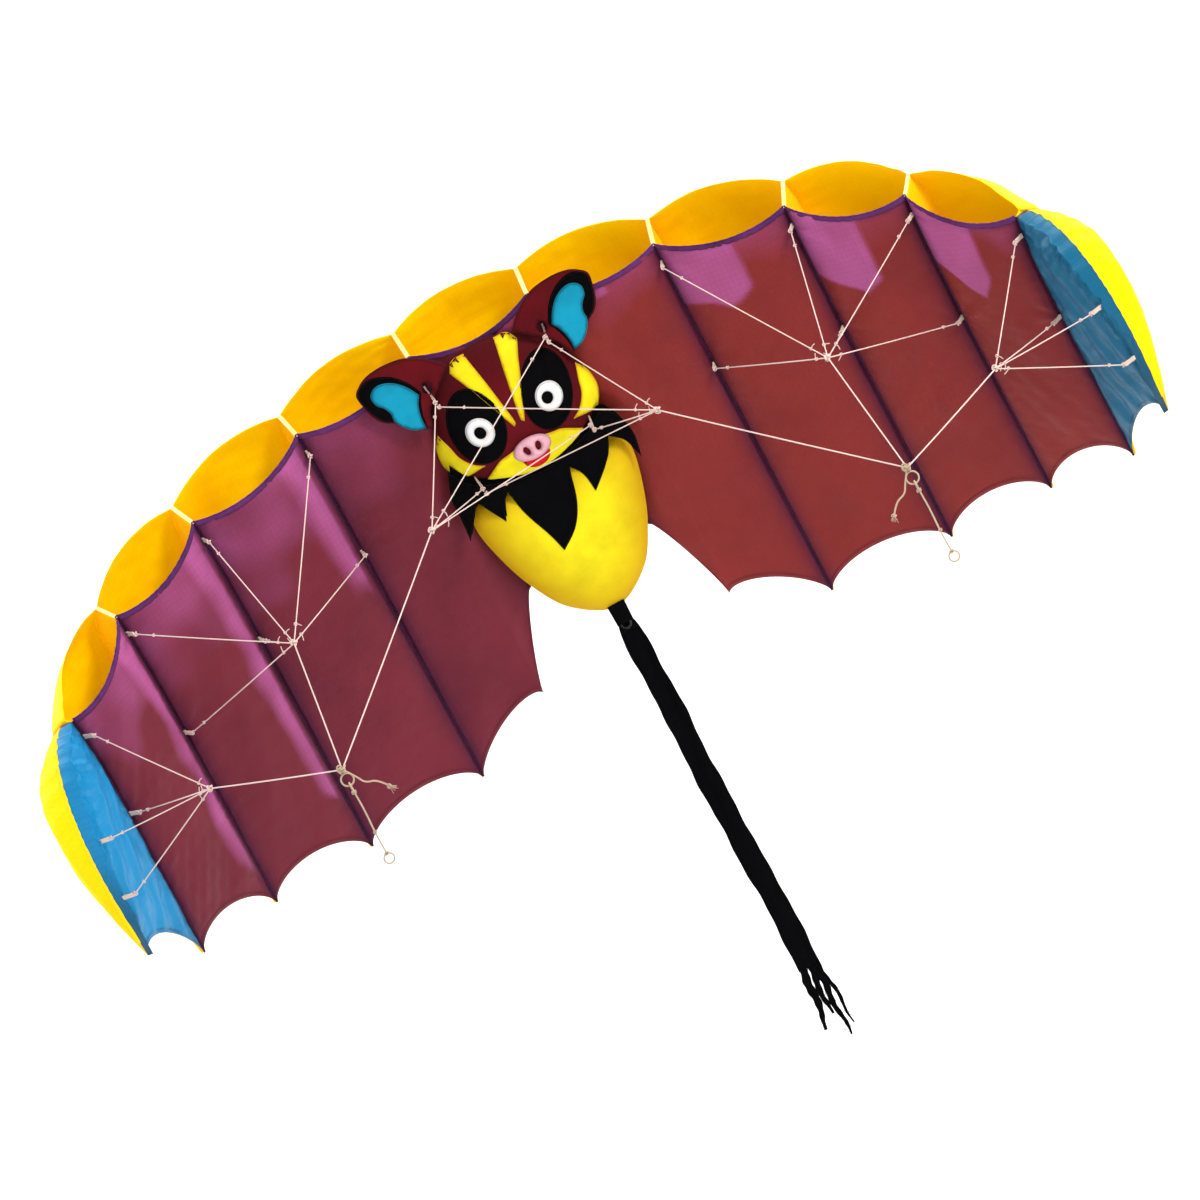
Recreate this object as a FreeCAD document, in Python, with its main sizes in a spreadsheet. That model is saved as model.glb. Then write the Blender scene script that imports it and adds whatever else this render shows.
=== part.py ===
import FreeCAD, Part
import math
import os

# Bat parafoil kite.  Kite axes: across = X, back along the chord, down toward the flyer.
# Row axes: +X across the span, +Z up, the flyer on the -Y side.
doc = FreeCAD.newDocument("bat_parafoil")
V = FreeCAD.Vector
sheet = doc.addObject("Spreadsheet::Sheet", "sizes")

SIZES = {
    # arch of the wing seen along the chord
    "arch_half_width": 1050, "arch_depth": 620, "chord_tilt_deg": 24,
    "across_inner": 121, "across_second": 364, "across_third": 601,
    "across_fourth": 797, "across_outer": 947, "across_tip": 1026,
    # where the lower skin starts and ends along the chord, at each rib
    "front_inner": 0, "front_second": 16, "front_third": 41,
    "front_fourth": 89, "front_outer": 168,
    "rear_inner": 508, "rear_spike": 703, "rear_second": 784, "rear_third": 769,
    "rear_fourth": 729, "rear_outer": 686, "rear_tip": 578, "spike_share": 0.30,
    # height of each intake at its rib, and how far the nose leads the lower lip
    "intake_inner": 66, "intake_second": 58, "intake_third": 54,
    "intake_fourth": 42, "intake_outer": 12, "nose_lead": 0.45,
    "thick_inner": 92, "thick_second": 98, "thick_third": 92,
    "thick_fourth": 80, "thick_outer": 66,
    "belly_camber": 8, "bulge_upper": 20, "bulge_lower": 22, "nose_forward": 22,
    "lip_dip": 22, "scallop": 48, "skin_thick": 2, "rib_thick": 2,
    # rib vents and edge tapes
    "vent_radius": 14, "binding_width": 9, "binding_thick": 5,
    "tape_width": 14, "tape_thick": 2,
    # bridle
    "tab_width": 10, "tab_thick": 3, "tab_length": 24, "tab_hole_radius": 3,
    "inner_front_tab_length": 84, "inner_mid_tab_length": 112, "buttonhole_room": 2,
    "ear_slot_room": 6,
    "front_tab_back": 35, "inner_front_tab_back": 62, "mid_tab_back": 255, "inner_mid_tab_back": 243, "tip_tab_back": 14,
    "outer_mid_tab_back": 207, "line_radius": 1.2, "tie_radius": 3.6,
    "knot_radius": 7, "inner_knot_across": 225, "inner_knot_back": 142,
    "inner_knot_down": 420, "middle_knot_across": 531, "middle_knot_back": 182,
    "middle_knot_down": 480, "tip_knot_across": 776, "tip_knot_back": 290,
    "tip_knot_down": 620, "tow_across": 545, "tow_back": 229, "tow_down": 950,
    "tow_knot_radius": 9, "tow_loop_radius": 11, "tow_cord_radius": 1.8,
    "tag_across": 62, "tag_drop": 66, "leader_length": 118, "leader_eye_radius": 9,
    # bat figure
    "figure_stand": 35.8, "figure_lift": 45, "head_half_width": 155, "head_thick": 62,
    "belly_half_width": 160, "belly_top": 304, "belly_bottom": 590, "belly_thick": 52,
    "patch_thick": 3, "ruff_thick": 4, "ear_thick": 6, "ear_gap": 2.5,
    "eye_across": 70, "eye_drop": 172, "eye_half_width": 54, "eye_half_height": 66,
    "eye_ring_drop": 178, "eye_ring_radius": 25.5, "pupil_radius": 10.5,
    "snout_drop": 245, "snout_half_width": 37, "snout_half_height": 23,
    "snout_thick": 12, "nostril_radius": 5, "nostril_across": 11,
    "mouth_drop": 262, "mouth_radius": 24, "mouth_thick": 6,
    # tail
    "tail_loop_radius": 9, "tail_cord_radius": 2, "tail_width": 43, "tail_thick": 3,
    "tail_upper_length": 340, "tail_lower_length": 336, "tail_joint_gap": 2,
    "fringe_length": 168, "fringe_split": 24,
}
for row, (alias, value) in enumerate(SIZES.items(), start=1):
    cell = "A%d" % row
    sheet.set(cell, str(value))
    sheet.setAlias(cell, alias)
doc.recompute()


def size(name):
    return float(getattr(sheet, name))


TILT = math.radians(size("chord_tilt_deg"))
CT, ST = math.cos(TILT), math.sin(TILT)


def place(across, back, down):
    """A point given across the span, back along the chord and down toward the flyer."""
    return V(across, ST * back - CT * down, -CT * back - ST * down)


def lerp(a, b, share):
    return a + (b - a) * share


# ---------------------------------------------------------------- arch and ribs
NAMES = ["inner", "second", "third", "fourth", "outer"]
HALF, DEPTH = size("arch_half_width"), size("arch_depth")


def arch(across):
    """Drop toward the flyer and upward normal (across, down) of the arch."""
    root = math.sqrt(max(1e-6, 1 - (across / HALF) ** 2))
    drop = DEPTH * (1 - root)
    n = (DEPTH * across / HALF, -HALF * root)
    length = math.hypot(*n)
    return drop, n[0] / length, n[1] / length


class Station:
    """One chordwise cut: base point, upward normal, and the two skin curves in it."""

    def __init__(self, x, d, nx, nd, front, rear, intake, thick, up, low, lead):
        self.x, self.d, self.nx, self.nd = x, d, nx, nd
        self.front, self.rear, self.intake, self.thick = front, rear, intake, thick
        self.up, self.low, self.lead = up, low, lead

    def at(self, back, height):
        return place(self.x + self.nx * height, back, self.d + self.nd * height)

    def upper(self):
        nose = self.front - self.lead
        run = self.rear - nose
        camber = [(0.0, self.intake / self.thick), (0.05, 0.80), (0.13, 0.95), (0.28, 1.0),
                  (0.45, 0.90), (0.65, 0.64), (0.83, 0.32), (1.0, 0.0)]
        edge = size("skin_thick") / 2
        return [(nose + run * f, edge + self.thick * g + self.up * (1 - f ** 3))
                for f, g in camber]

    def lower(self):
        run = self.rear - self.front
        camber = [(0.0, 0.0), (0.10, 0.7), (0.25, 1.0), (0.50, 0.8), (0.75, 0.4), (1.0, 0.0)]
        edge = size("skin_thick") / 2
        return [(self.front + run * f,
                 -edge - size("belly_camber") * g - self.low * (1 - f ** 3))
                for f, g in camber]


def offset(points, amount):
    """Points moved sideways off their own curve."""
    moved = []
    for i, (a, b) in enumerate(points):
        p = points[max(0, i - 1)]
        q = points[min(len(points) - 1, i + 1)]
        dx, dy = q[0] - p[0], q[1] - p[1]
        length = math.hypot(dx, dy)
        moved.append((a - dy / length * amount, b + dx / length * amount))
    return moved


def strip_wire(station, points):
    """Closed wire of a skin cut: outer curve, end, inner curve, end."""
    half = size("skin_thick") / 2
    outer = [station.at(*p) for p in offset(points, half)]
    inner = [station.at(*p) for p in offset(points, -half)]
    top, low = Part.BSplineCurve(), Part.BSplineCurve()
    top.interpolate(outer)
    low.interpolate(inner)
    return Part.Wire([top.toShape(), Part.makeLine(outer[-1], inner[-1]),
                      low.toShape(), Part.makeLine(inner[0], outer[0])])


def rib_values(k):
    name = NAMES[k]
    x = size("across_" + name)
    d, nx, nd = arch(x)
    return {"x": x, "d": d, "nx": nx, "nd": nd, "front": size("front_" + name),
            "rear": size("rear_" + name), "intake": size("intake_" + name),
            "thick": size("thick_" + name)}


def stations(k, shares):
    """Cuts across cell k: 0 is the middle cell, 5 the closed tip cell."""
    half_rib = size("rib_thick") / 2
    if k == 0:
        b = rib_values(0)
        a = dict(b, x=-b["x"], nx=-b["nx"])
    elif k < 5:
        a, b = rib_values(k - 1), rib_values(k)
    else:
        a = rib_values(4)
        x = size("across_tip")
        d, nx, nd = arch(x)
        b = {"x": x, "d": d, "nx": nx, "nd": nd, "rear": size("rear_tip")}
    # ends stand half a rib's thickness inside the ribs, along the arch
    ax, ad = a["x"] - a["nd"] * half_rib, a["d"] + a["nx"] * half_rib
    bx, bd = b["x"] + b["nd"] * half_rib, b["d"] - b["nx"] * half_rib
    made = []
    for w in shares:
        hump = 4 * w * (1 - w)
        nx, nd = lerp(a["nx"], b["nx"], w), lerp(a["nd"], b["nd"], w)
        length = math.hypot(nx, nd)
        x, d = lerp(ax, bx, w), lerp(ad, bd, w)
        if k == 1:
            peak = size("spike_share")
            if w < peak:
                v = w / peak
                rear = lerp(a["rear"], size("rear_spike"), v) - 0.5 * size("scallop") * 4 * v * (1 - v)
            else:
                v = (w - peak) / (1 - peak)
                rear = lerp(size("rear_spike"), b["rear"], v) - 0.7 * size("scallop") * 4 * v * (1 - v)
        else:
            rear = lerp(a["rear"], b["rear"], w) - size("scallop") * hump
        if k < 5:
            front = lerp(a["front"], b["front"], w)
            intake = lerp(a["intake"], b["intake"], w)
            made.append(Station(
                x, d, nx / length, nd / length, front + size("lip_dip") * hump, rear, intake,
                lerp(a["thick"], b["thick"], w), size("bulge_upper") * hump,
                size("bulge_lower") * hump,
                intake * size("nose_lead") + (size("nose_forward") + size("lip_dip")) * hump))
        else:
            power = 2.2
            sweep = 1 - (1 - w ** power) ** (1 / power)
            closing = math.sqrt(1 - w ** 3)
            front = lerp(a["front"], b["rear"], sweep)
            thick = (a["thick"] + 6) * closing
            made.append(Station(
                x, d, nx / length, nd / length, front, rear, a["intake"] * closing, thick,
                size("bulge_upper") * hump, 0.5 * size("bulge_lower") * hump,
                a["intake"] * size("nose_lead") * closing))
    return made


EVEN = [0, 0.12, 0.26, 0.42, 0.58, 0.74, 0.88, 1.0]
SPIKED = [0, 0.10, 0.20, 0.30, 0.42, 0.56, 0.72, 0.87, 1.0]
CLOSING = [0, 0.15, 0.32, 0.50, 0.66, 0.80, 0.90, 0.97]


def shares_of(k):
    return {1: SPIKED, 5: CLOSING}.get(k, EVEN)


def add_shape(label, shape):
    obj = doc.addObject("Part::Feature", label)
    obj.Label = label
    obj.Shape = shape
    return obj


def flipped(shape):
    return shape.mirror(V(0, 0, 0), V(1, 0, 0))


NODES = []


def both(stem, shape):
    """The same piece on the right and, mirrored, on the left."""
    NODES.append(add_shape(stem + "_right", shape))
    NODES.append(add_shape(stem + "_left", flipped(shape)))


CELLS = ["centre", "cell_two", "cell_three", "cell_four", "cell_five", "tip"]
for k, cell_name in enumerate(CELLS):
    cuts = stations(k, shares_of(k))
    for skin in ("upper", "lower"):
        wires = [strip_wire(c, getattr(c, skin)()) for c in cuts]
        shell = Part.makeLoft(wires, True, True)
        if k == 0:
            NODES.append(add_shape(skin + "_skin_" + cell_name, shell))
        else:
            both(skin + "_skin_" + cell_name, shell)


# ribs: flat plates with round vents, from skin to skin
def rib_shape(k):
    r = rib_values(k)
    cut = Station(r["x"], r["d"], r["nx"], r["nd"], r["front"], r["rear"], r["intake"],
                  r["thick"], 0, 0, r["intake"] * size("nose_lead"))
    half = size("skin_thick") / 2
    over = [cut.at(*p) for p in offset(cut.upper(), half)]
    under = [cut.at(*p) for p in offset(cut.lower(), -half)]
    top, low = Part.BSplineCurve(), Part.BSplineCurve()
    top.interpolate(over)
    low.interpolate(under)
    face = Part.Face(Part.Wire([top.toShape(), Part.makeLine(over[-1], under[-1]),
                                low.toShape(), Part.makeLine(under[0], over[0])]))
    # along the arch, square to the rib's plane
    along = place(-r["nd"], 0, r["nx"])
    thick = size("rib_thick")
    face.translate(along * (-thick / 2))
    plate = face.extrude(along * thick)
    run = r["rear"] - r["front"]
    for share, swell in ((0.14, 1.0), (0.30, 1.25), (0.48, 1.0)):
        radius = min(size("vent_radius") * swell, 0.30 * r["thick"])
        centre = cut.at(r["front"] + run * share, 0.46 * r["thick"] * (1.15 - share * 0.45))
        tool = Part.makeCylinder(radius, 4 * thick, centre - along * (2 * thick), along)
        plate = plate.cut(tool)
    return plate, along, cut


RIBS = []
for k, name in enumerate(NAMES):
    plate, along, cut = rib_shape(k)
    RIBS.append((along, cut))
    both("rib_" + name, plate)


# dark binding on the lower lip of every open cell
def binding(k):
    wide, thick = size("binding_width"), size("binding_thick") / 2
    wires = []
    for c in stations(k, shares_of(k)):
        y = -size("skin_thick") / 2 - c.low
        corners = [c.at(c.front - wide, y + thick), c.at(c.front, y + thick),
                   c.at(c.front, y - thick), c.at(c.front - wide, y - thick)]
        wires.append(Part.makePolygon(corners + corners[:1]))
    return Part.makeLoft(wires, True, True)


strips = [binding(0)]
for k in range(1, 5):
    right = binding(k)
    strips += [right, flipped(right)]


# pale tape down the front edge of every rib
def slab(corner, side, run, deep):
    """A box from a corner and three edge vectors."""
    face = Part.Face(Part.makePolygon([corner, corner + side, corner + side + run,
                                       corner + run, corner]))
    return face.extrude(deep)


tapes = []
for along, cut in RIBS[:4]:
    nose = cut.upper()[0]
    lip = (cut.front, -size("skin_thick") / 2)
    start = cut.at(lerp(lip[0], nose[0], 0.16), lerp(lip[1], nose[1], 0.16))
    stop = cut.at(lerp(lip[0], nose[0], 0.93), lerp(lip[1], nose[1], 0.93))
    run = stop - start
    ahead = run.cross(along)
    if ahead.dot(place(0, -1, 0)) < 0:
        ahead = ahead * -1
    ahead.normalize()
    wide = size("tape_width")
    tape = slab(start - along * (wide / 2), along * wide, run, ahead * size("tape_thick"))
    tapes += [tape, flipped(tape)]
NODES.append(add_shape("intake_trim", Part.makeCompound(strips + tapes)))


# ---------------------------------------------------------------- bridle tabs
def skin_point(cut, back):
    """Height of the lower skin's outer face over the chord line at this cut."""
    pts = offset(cut.lower(), -size("skin_thick") / 2)
    for a, b in zip(pts, pts[1:]):
        if a[0] <= back <= b[0]:
            return lerp(a[1], b[1], (back - a[0]) / (b[0] - a[0]))
    return pts[-1][1]


def tab(cut, along, back, tall, room=0.0):
    """A tape loop standing off the lower skin, or the slot that clears it by room all round."""
    wide, thick = size("tab_width") + 2 * room, size("tab_thick") + 2 * room
    root = skin_point(cut, back)
    corner = cut.at(back - wide / 2, root + 1) - along * (thick / 2)
    chord = cut.at(back + 1, root) - cut.at(back, root)
    fall = cut.at(back, root - 1) - cut.at(back, root)
    body = slab(corner, along * thick, chord * wide, fall * tall)
    if room:
        return body
    eye = cut.at(back, root - tall + wide / 2 + 1)
    hole = Part.makeCylinder(size("tab_hole_radius"), 3 * thick,
                             eye - along * (1.5 * thick), along)
    return body.cut(hole), cut.at(back, root - tall + 1)


stand = size("figure_stand")
tabs, ties, slots = [], {}, {}
for k, (along, cut) in enumerate(RIBS):
    for row_name in ("front", "mid"):
        back, tall = size(row_name + "_tab_back"), size("tab_length")
        if k == 0:
            # the middle pairs are long tapes that come out through the figure
            back = size("inner_" + row_name + "_tab_back")
            tall = size("inner_" + row_name + "_tab_length")
        if k == 4 and row_name == "mid":
            back = size("outer_mid_tab_back")
        shape, tie = tab(cut, along, cut.front + back, tall)
        tabs.append(shape)
        ties[(k, row_name)] = tie
        if k == 0:
            room = size("ear_slot_room" if row_name == "front" else "buttonhole_room")
            slots[row_name] = tab(cut, along, cut.front + back, tall, room)
for row_name, cut in zip(("first", "second"), stations(5, [0.84, 0.96])):
    along = place(-cut.nd, 0, cut.nx)
    shape, tie = tab(cut, along, cut.front + size("tip_tab_back"), size("tab_length"))
    tabs.append(shape)
    ties[(5, row_name)] = tie
both("bridle_tabs", Part.makeCompound(tabs))


# ---------------------------------------------------------------- bridle lines
def line(a, b):
    run = b - a
    return Part.makeCylinder(size("line_radius"), run.Length, a, run)


def ball(radius, centre):
    return Part.makeSphere(radius, centre)


inner_knot = place(size("inner_knot_across"), size("inner_knot_back"), size("inner_knot_down"))
middle_knot = place(size("middle_knot_across"), size("middle_knot_back"), size("middle_knot_down"))
tip_knot = place(size("tip_knot_across"), size("tip_knot_back"), size("tip_knot_down"))
tow_knot = place(size("tow_across"), size("tow_back"), size("tow_down"))


def far_side(p):
    return V(-p.x, p.y, p.z)


def cascade(knot, ends):
    """Lines tied to their tabs, meeting in one knot."""
    made = ball(size("knot_radius"), knot)
    for end in ends:
        made = made.fuse([line(end, knot), ball(size("tie_radius"), end)])
    return made.removeSplitter()


inner_ends = [ties[(0, "front")], ties[(0, "mid")]]
# the pair that crosses to the other side ties just under, or over, that side's own pair
beside = V(0, 0, 2 * size("tie_radius") + 3)
under = inner_ends + [far_side(p) - beside for p in inner_ends]
over = inner_ends + [far_side(p) + beside for p in inner_ends]
middle_ends = [ties[(k, r)] for k in (1, 2, 3) for r in ("front", "mid")]
tip_ends = [ties[(4, "front")], ties[(4, "mid")], ties[(5, "first")], ties[(5, "second")]]
NODES.append(add_shape("inner_cascade_right", cascade(inner_knot, under)))
NODES.append(add_shape("inner_cascade_left", flipped(cascade(inner_knot, over))))
both("middle_cascade", cascade(middle_knot, middle_ends))
both("tip_cascade", cascade(tip_knot, tip_ends))

# tow harness: three risers in one knot, its loop below, the loose tag end of its cord
loop_drop = size("tow_knot_radius") + size("tow_loop_radius") - 1
loop_centre = tow_knot + V(0, 0, -loop_drop)
tow = ball(size("tow_knot_radius"), tow_knot)
tow = tow.fuse([line(knot, tow_knot) for knot in (inner_knot, middle_knot, tip_knot)])
tow = tow.fuse(Part.makeTorus(size("tow_loop_radius"), size("tow_cord_radius"),
                              loop_centre, V(0, 1, 0)))
tag_end = tow_knot + V(-size("tag_across"), 0, -size("tag_drop"))
tow = tow.fuse(Part.makeCylinder(size("tow_cord_radius"), (tag_end - tow_knot).Length,
                                 tow_knot, tag_end - tow_knot))
both("tow_harness", tow)

# leader: an eye through the tow loop, the cord, and an end loop for the flying line
eye_r, cord_r = size("leader_eye_radius"), size("tow_cord_radius")
loop_low = loop_centre + V(0, 0, -size("tow_loop_radius"))
eye_centre = loop_low + V(0, 0, -eye_r + 2 * cord_r + 1)
leader = Part.makeTorus(eye_r, cord_r, eye_centre, V(1, 0, 0))
cord_top = eye_centre + V(0, 0, -eye_r)
cord_low = cord_top + V(0, 0, -size("leader_length"))
leader = leader.fuse(Part.makeCylinder(cord_r, size("leader_length"), cord_low, V(0, 0, 1)))
leader = leader.fuse(Part.makeTorus(eye_r, cord_r, cord_low + V(0, 0, -eye_r), V(0, 1, 0)))
leader = leader.fuse(ball(1.8 * cord_r, cord_top))
leader = leader.fuse(ball(1.8 * cord_r, cord_low))
both("leader", leader)


# ---------------------------------------------------------------- bat figure
def on_figure(across, drop, lift):
    """A point of the figure: across, how far below the lip the flyer sees it, and lift."""
    back = (drop - ST * (stand + size("figure_lift"))) / CT
    return place(across, back, stand + lift)


def outline(points, lift, share=1.0, middle=(0, 0), smooth=True):
    """Closed wire from half an outline, mirrored, shrunk about its middle."""
    ring = list(points) + [(-x, d) for x, d in reversed(points) if x > 0.01]
    placed = [on_figure(middle[0] + (x - middle[0]) * share,
                        middle[1] + (d - middle[1]) * share, lift) for x, d in ring]
    if smooth:
        curve = Part.BSplineCurve()
        curve.interpolate(placed, PeriodicFlag=True)
        return Part.Wire(curve.toShape())
    return Part.makePolygon(placed + placed[:1])


def pillow(points, thick, middle):
    """A padded form: outlines that draw in toward the face."""
    steps = [(0.0, 1.0), (0.45, 1.0), (0.82, 0.95), (1.0, 0.84)]
    return Part.makeLoft([outline(points, thick * a, b, middle) for a, b in steps], True, False)


HW = size("head_half_width")
head_half = [(0, 50), (0.30 * HW, 58), (0.58 * HW, 82), (0.80 * HW, 112), (0.90 * HW, 150),
             (HW, 200), (0.97 * HW, 240), (0.70 * HW, 276), (0.35 * HW, 298), (0, 306)]
head_thick = size("head_thick")
head = pillow(head_half, head_thick, (0, 185))
head = head.cut(Part.makeCompound([slots["mid"], flipped(slots["mid"])]))
NODES.append(add_shape("head", head))

BW = size("belly_half_width")
top, low = size("belly_top"), size("belly_bottom")
span = low - top
belly_half = [(0, top), (0.55 * BW, top), (0.90 * BW, top + 0.03 * span),
              (BW, top + 0.14 * span), (0.93 * BW, top + 0.36 * span),
              (0.76 * BW, top + 0.62 * span), (0.48 * BW, top + 0.86 * span), (0, low)]
belly = pillow(belly_half, size("belly_thick"), (0, top + 0.42 * span))
NODES.append(add_shape("belly", belly))

# ruff: flat, jagged, from cheek to cheek under the chin
ruff_right = [(1.02 * HW + 3, 222), (1.09 * HW, 290), (1.0 * HW, 360), (0.72 * HW, 295),
              (0.45 * HW, 371), (0.28 * HW, 315), (-0.23 * HW, 437)]
ruff_left = [(-0.50 * HW, 302), (-0.67 * HW, 347), (-0.86 * HW, 292), (-1.15 * HW, 349),
             (-1.11 * HW, 270), (-1.02 * HW - 3, 222)]
chin = [(-0.99 * HW - 3, 246), (-0.72 * HW - 2, 280), (-0.36 * HW, 303), (0, 311),
        (0.36 * HW, 303), (0.72 * HW + 2, 280), (0.99 * HW + 3, 246)]
ruff_lift = size("belly_thick") - 0.5
ruff_ring = [on_figure(x, d, ruff_lift) for x, d in ruff_right + ruff_left + chin]
face = Part.Face(Part.makePolygon(ruff_ring + ruff_ring[:1]))
toward = place(0, 0, 1)
NODES.append(add_shape("ruff", face.extrude(toward * size("ruff_thick"))))

# ears: flat padded leaves hinged along the sides of the head
ear_lift = 0.40 * head_thick
gap = size("ear_gap")
ear_ring = [(0.41 * HW + gap, 56 - gap), (0.64 * HW, 24), (0.90 * HW, 6), (1.12 * HW, 2),
            (1.38 * HW, 9), (1.52 * HW, 26), (1.49 * HW, 52), (1.40 * HW, 84),
            (1.24 * HW, 112), (1.08 * HW, 132), (0.89 * HW + gap, 139),
            (0.81 * HW + gap, 110 - 0.5 * gap), (0.585 * HW + gap, 80 - gap)]
ear_points = [on_figure(x, d, ear_lift) for x, d in ear_ring]
ear_face = Part.Face(Part.makePolygon(ear_points + ear_points[:1]))
both("ear", ear_face.extrude(toward * size("ear_thick")).cut(slots["front"]))
ear_pin = [on_figure(x, d, ear_lift + size("ear_thick") / 2)
           for x, d in (ear_ring[-1], ear_ring[-2])]


# face patches, each lying on the one below
def plate(wire, thick):
    return Part.Face(wire).extrude(toward * thick)


def oval(across, drop, lift, wide, tall, turn=0.0):
    pts = []
    for i in range(20):
        a = 2 * math.pi * i / 20
        x, y = wide * math.cos(a), tall * math.sin(a)
        c, s = math.cos(turn), math.sin(turn)
        pts.append(on_figure(across + x * c - y * s, drop + x * s + y * c, lift))
    curve = Part.BSplineCurve()
    curve.interpolate(pts, PeriodicFlag=True)
    return Part.Wire(curve.toShape())


patch = size("patch_thick")
eye = plate(oval(size("eye_across"), size("eye_drop"), head_thick, size("eye_half_width"),
                 size("eye_half_height"), 0.25), patch)
NODES.append(add_shape("eye_patches", Part.makeCompound([eye, flipped(eye)])))

ring_centre = (size("eye_across"), size("eye_ring_drop"), head_thick + patch)
ring = plate(oval(*ring_centre, size("eye_ring_radius"), size("eye_ring_radius")), patch)
ring = ring.cut(plate(oval(*ring_centre, size("pupil_radius"), size("pupil_radius")), patch))
NODES.append(add_shape("eye_rings", Part.makeCompound([ring, flipped(ring)])))


def flat(points, lift, thick):
    ring = [on_figure(x, d, lift) for x, d in points]
    return plate(Part.makePolygon(ring + ring[:1]), thick)


stripe = flat([(36, 78), (58, 92), (10, 186)], head_thick, patch)
muzzle = flat([(0, 268 + patch), (44, 244), (98, 256), (84, 268), (40, 283), (0, 289),
               (-40, 283), (-84, 268), (-98, 256), (-44, 244)], head_thick, patch)
eyes = Part.makeCompound([eye, flipped(eye)])
yellow = [piece.cut(eyes) for piece in (stripe, flipped(stripe), muzzle)]
NODES.append(add_shape("face_yellow", Part.makeCompound(yellow)))

snout = plate(oval(0, size("snout_drop"), head_thick + patch, size("snout_half_width"),
                   size("snout_half_height")), size("snout_thick"))
for side in (-1, 1):
    centre = on_figure(side * size("nostril_across"), size("snout_drop"),
                       head_thick + patch + 0.5 * size("snout_thick"))
    snout = snout.cut(Part.makeCylinder(size("nostril_radius"), size("snout_thick"),
                                        centre, toward))
NODES.append(add_shape("snout", snout))

mouth_ring = []
for i in range(9):
    a = math.pi * i / 8
    mouth_ring.append((size("mouth_radius") * math.cos(a),
                       size("mouth_drop") + 8 + 0.65 * size("mouth_radius") * math.sin(a)))
NODES.append(add_shape("mouth", flat(mouth_ring, head_thick + patch, size("mouth_thick"))))

# ---------------------------------------------------------------- tail
tail_foot = on_figure(0, size("belly_bottom"), 0.22 * size("belly_thick"))
loop_r, thin = size("tail_loop_radius"), size("tail_cord_radius")
loop_mid = tail_foot + V(0, 0, -loop_r + 2 * thin)


def primitive(kind, label, centre, sizes, axis=V(0, 0, 1)):
    """A Part primitive whose sizes are read from the sheet by expression."""
    obj = doc.addObject(kind, label)
    obj.Label = label
    for prop, expression in sizes.items():
        obj.setExpression(prop, expression)
    obj.Placement = FreeCAD.Placement(centre, FreeCAD.Rotation(V(0, 0, 1), axis))
    return obj


tail_loop = primitive("Part::Torus", "tail_loop", loop_mid,
                      {"Radius1": "sizes.tail_loop_radius", "Radius2": "sizes.tail_cord_radius"},
                      V(0, 1, 0))
ring_mid = loop_mid + V(0, 0, -2 * loop_r + 2 * thin + 1)
tail_ring = primitive("Part::Torus", "tail_ring", ring_mid,
                      {"Radius1": "sizes.tail_loop_radius", "Radius2": "sizes.tail_cord_radius"},
                      V(1, 0, 0))
NODES += [tail_loop, tail_ring]

wide, thick = size("tail_width"), size("tail_thick")


def ribbon(label, top_z, length_name, y):
    obj = doc.addObject("Part::Box", label)
    obj.Label = label
    obj.setExpression("Length", "sizes.tail_width")
    obj.setExpression("Width", "sizes.tail_thick")
    obj.setExpression("Height", "sizes." + length_name)
    obj.Placement = FreeCAD.Placement(V(-wide / 2, y - thick / 2, top_z - size(length_name)),
                                      FreeCAD.Rotation())
    return obj


# the upper tail hangs from the ring by its own folded end, a short sleeve with a bore
upper_top = ring_mid.z - loop_r - thin - 1
upper_box = ribbon("tail_upper_cloth", upper_top, "tail_upper_length", ring_mid.y)
sleeve = doc.addObject("Part::Torus", "tail_upper_eye")
sleeve.setExpression("Radius1", "sizes.tail_loop_radius")
sleeve.setExpression("Radius2", "sizes.tail_cord_radius")
sleeve.Placement = FreeCAD.Placement(ring_mid + V(0, 0, -2 * loop_r + 2 * thin + 1),
                                     FreeCAD.Rotation(V(0, 0, 1), V(0, 1, 0)))
tail_upper = doc.addObject("Part::MultiFuse", "tail_upper")
tail_upper.Label = "tail_upper"
tail_upper.Shapes = [upper_box, sleeve]
NODES.append(tail_upper)
doc.recompute()

eye_low = ring_mid.z - 3 * loop_r + thin + 1
upper_box.Placement = FreeCAD.Placement(
    V(-wide / 2, ring_mid.y - thick / 2, eye_low + thin - size("tail_upper_length")),
    FreeCAD.Rotation())
upper_low = eye_low + thin - size("tail_upper_length")
lower_top = upper_low - size("tail_joint_gap")
NODES.append(ribbon("tail_lower", lower_top, "tail_lower_length", ring_mid.y))
fringe_top = lower_top - size("tail_lower_length") - size("tail_joint_gap")


def strand(left, right, foot_left, foot_right, length):
    y = ring_mid.y - thick / 2
    pts = [V(left, y, fringe_top), V(right, y, fringe_top),
           V(foot_right, y, fringe_top - length), V(foot_left, y, fringe_top - length)]
    return Part.Face(Part.makePolygon(pts + pts[:1])).extrude(V(0, thick, 0))


long_run, half = size("fringe_length"), wide / 2
head_band = slab(V(-half, ring_mid.y - thick / 2, fringe_top), V(wide, 0, 0),
                 V(0, 0, -size("fringe_split")), V(0, thick, 0))
fringe = head_band.fuse([strand(-half, -2, -half - 18, -half - 4, 0.86 * long_run),
                         strand(-1, half, -4, 14, long_run)])
NODES.append(add_shape("tail_fringe", fringe.removeSplitter()))
doc.recompute()

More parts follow.
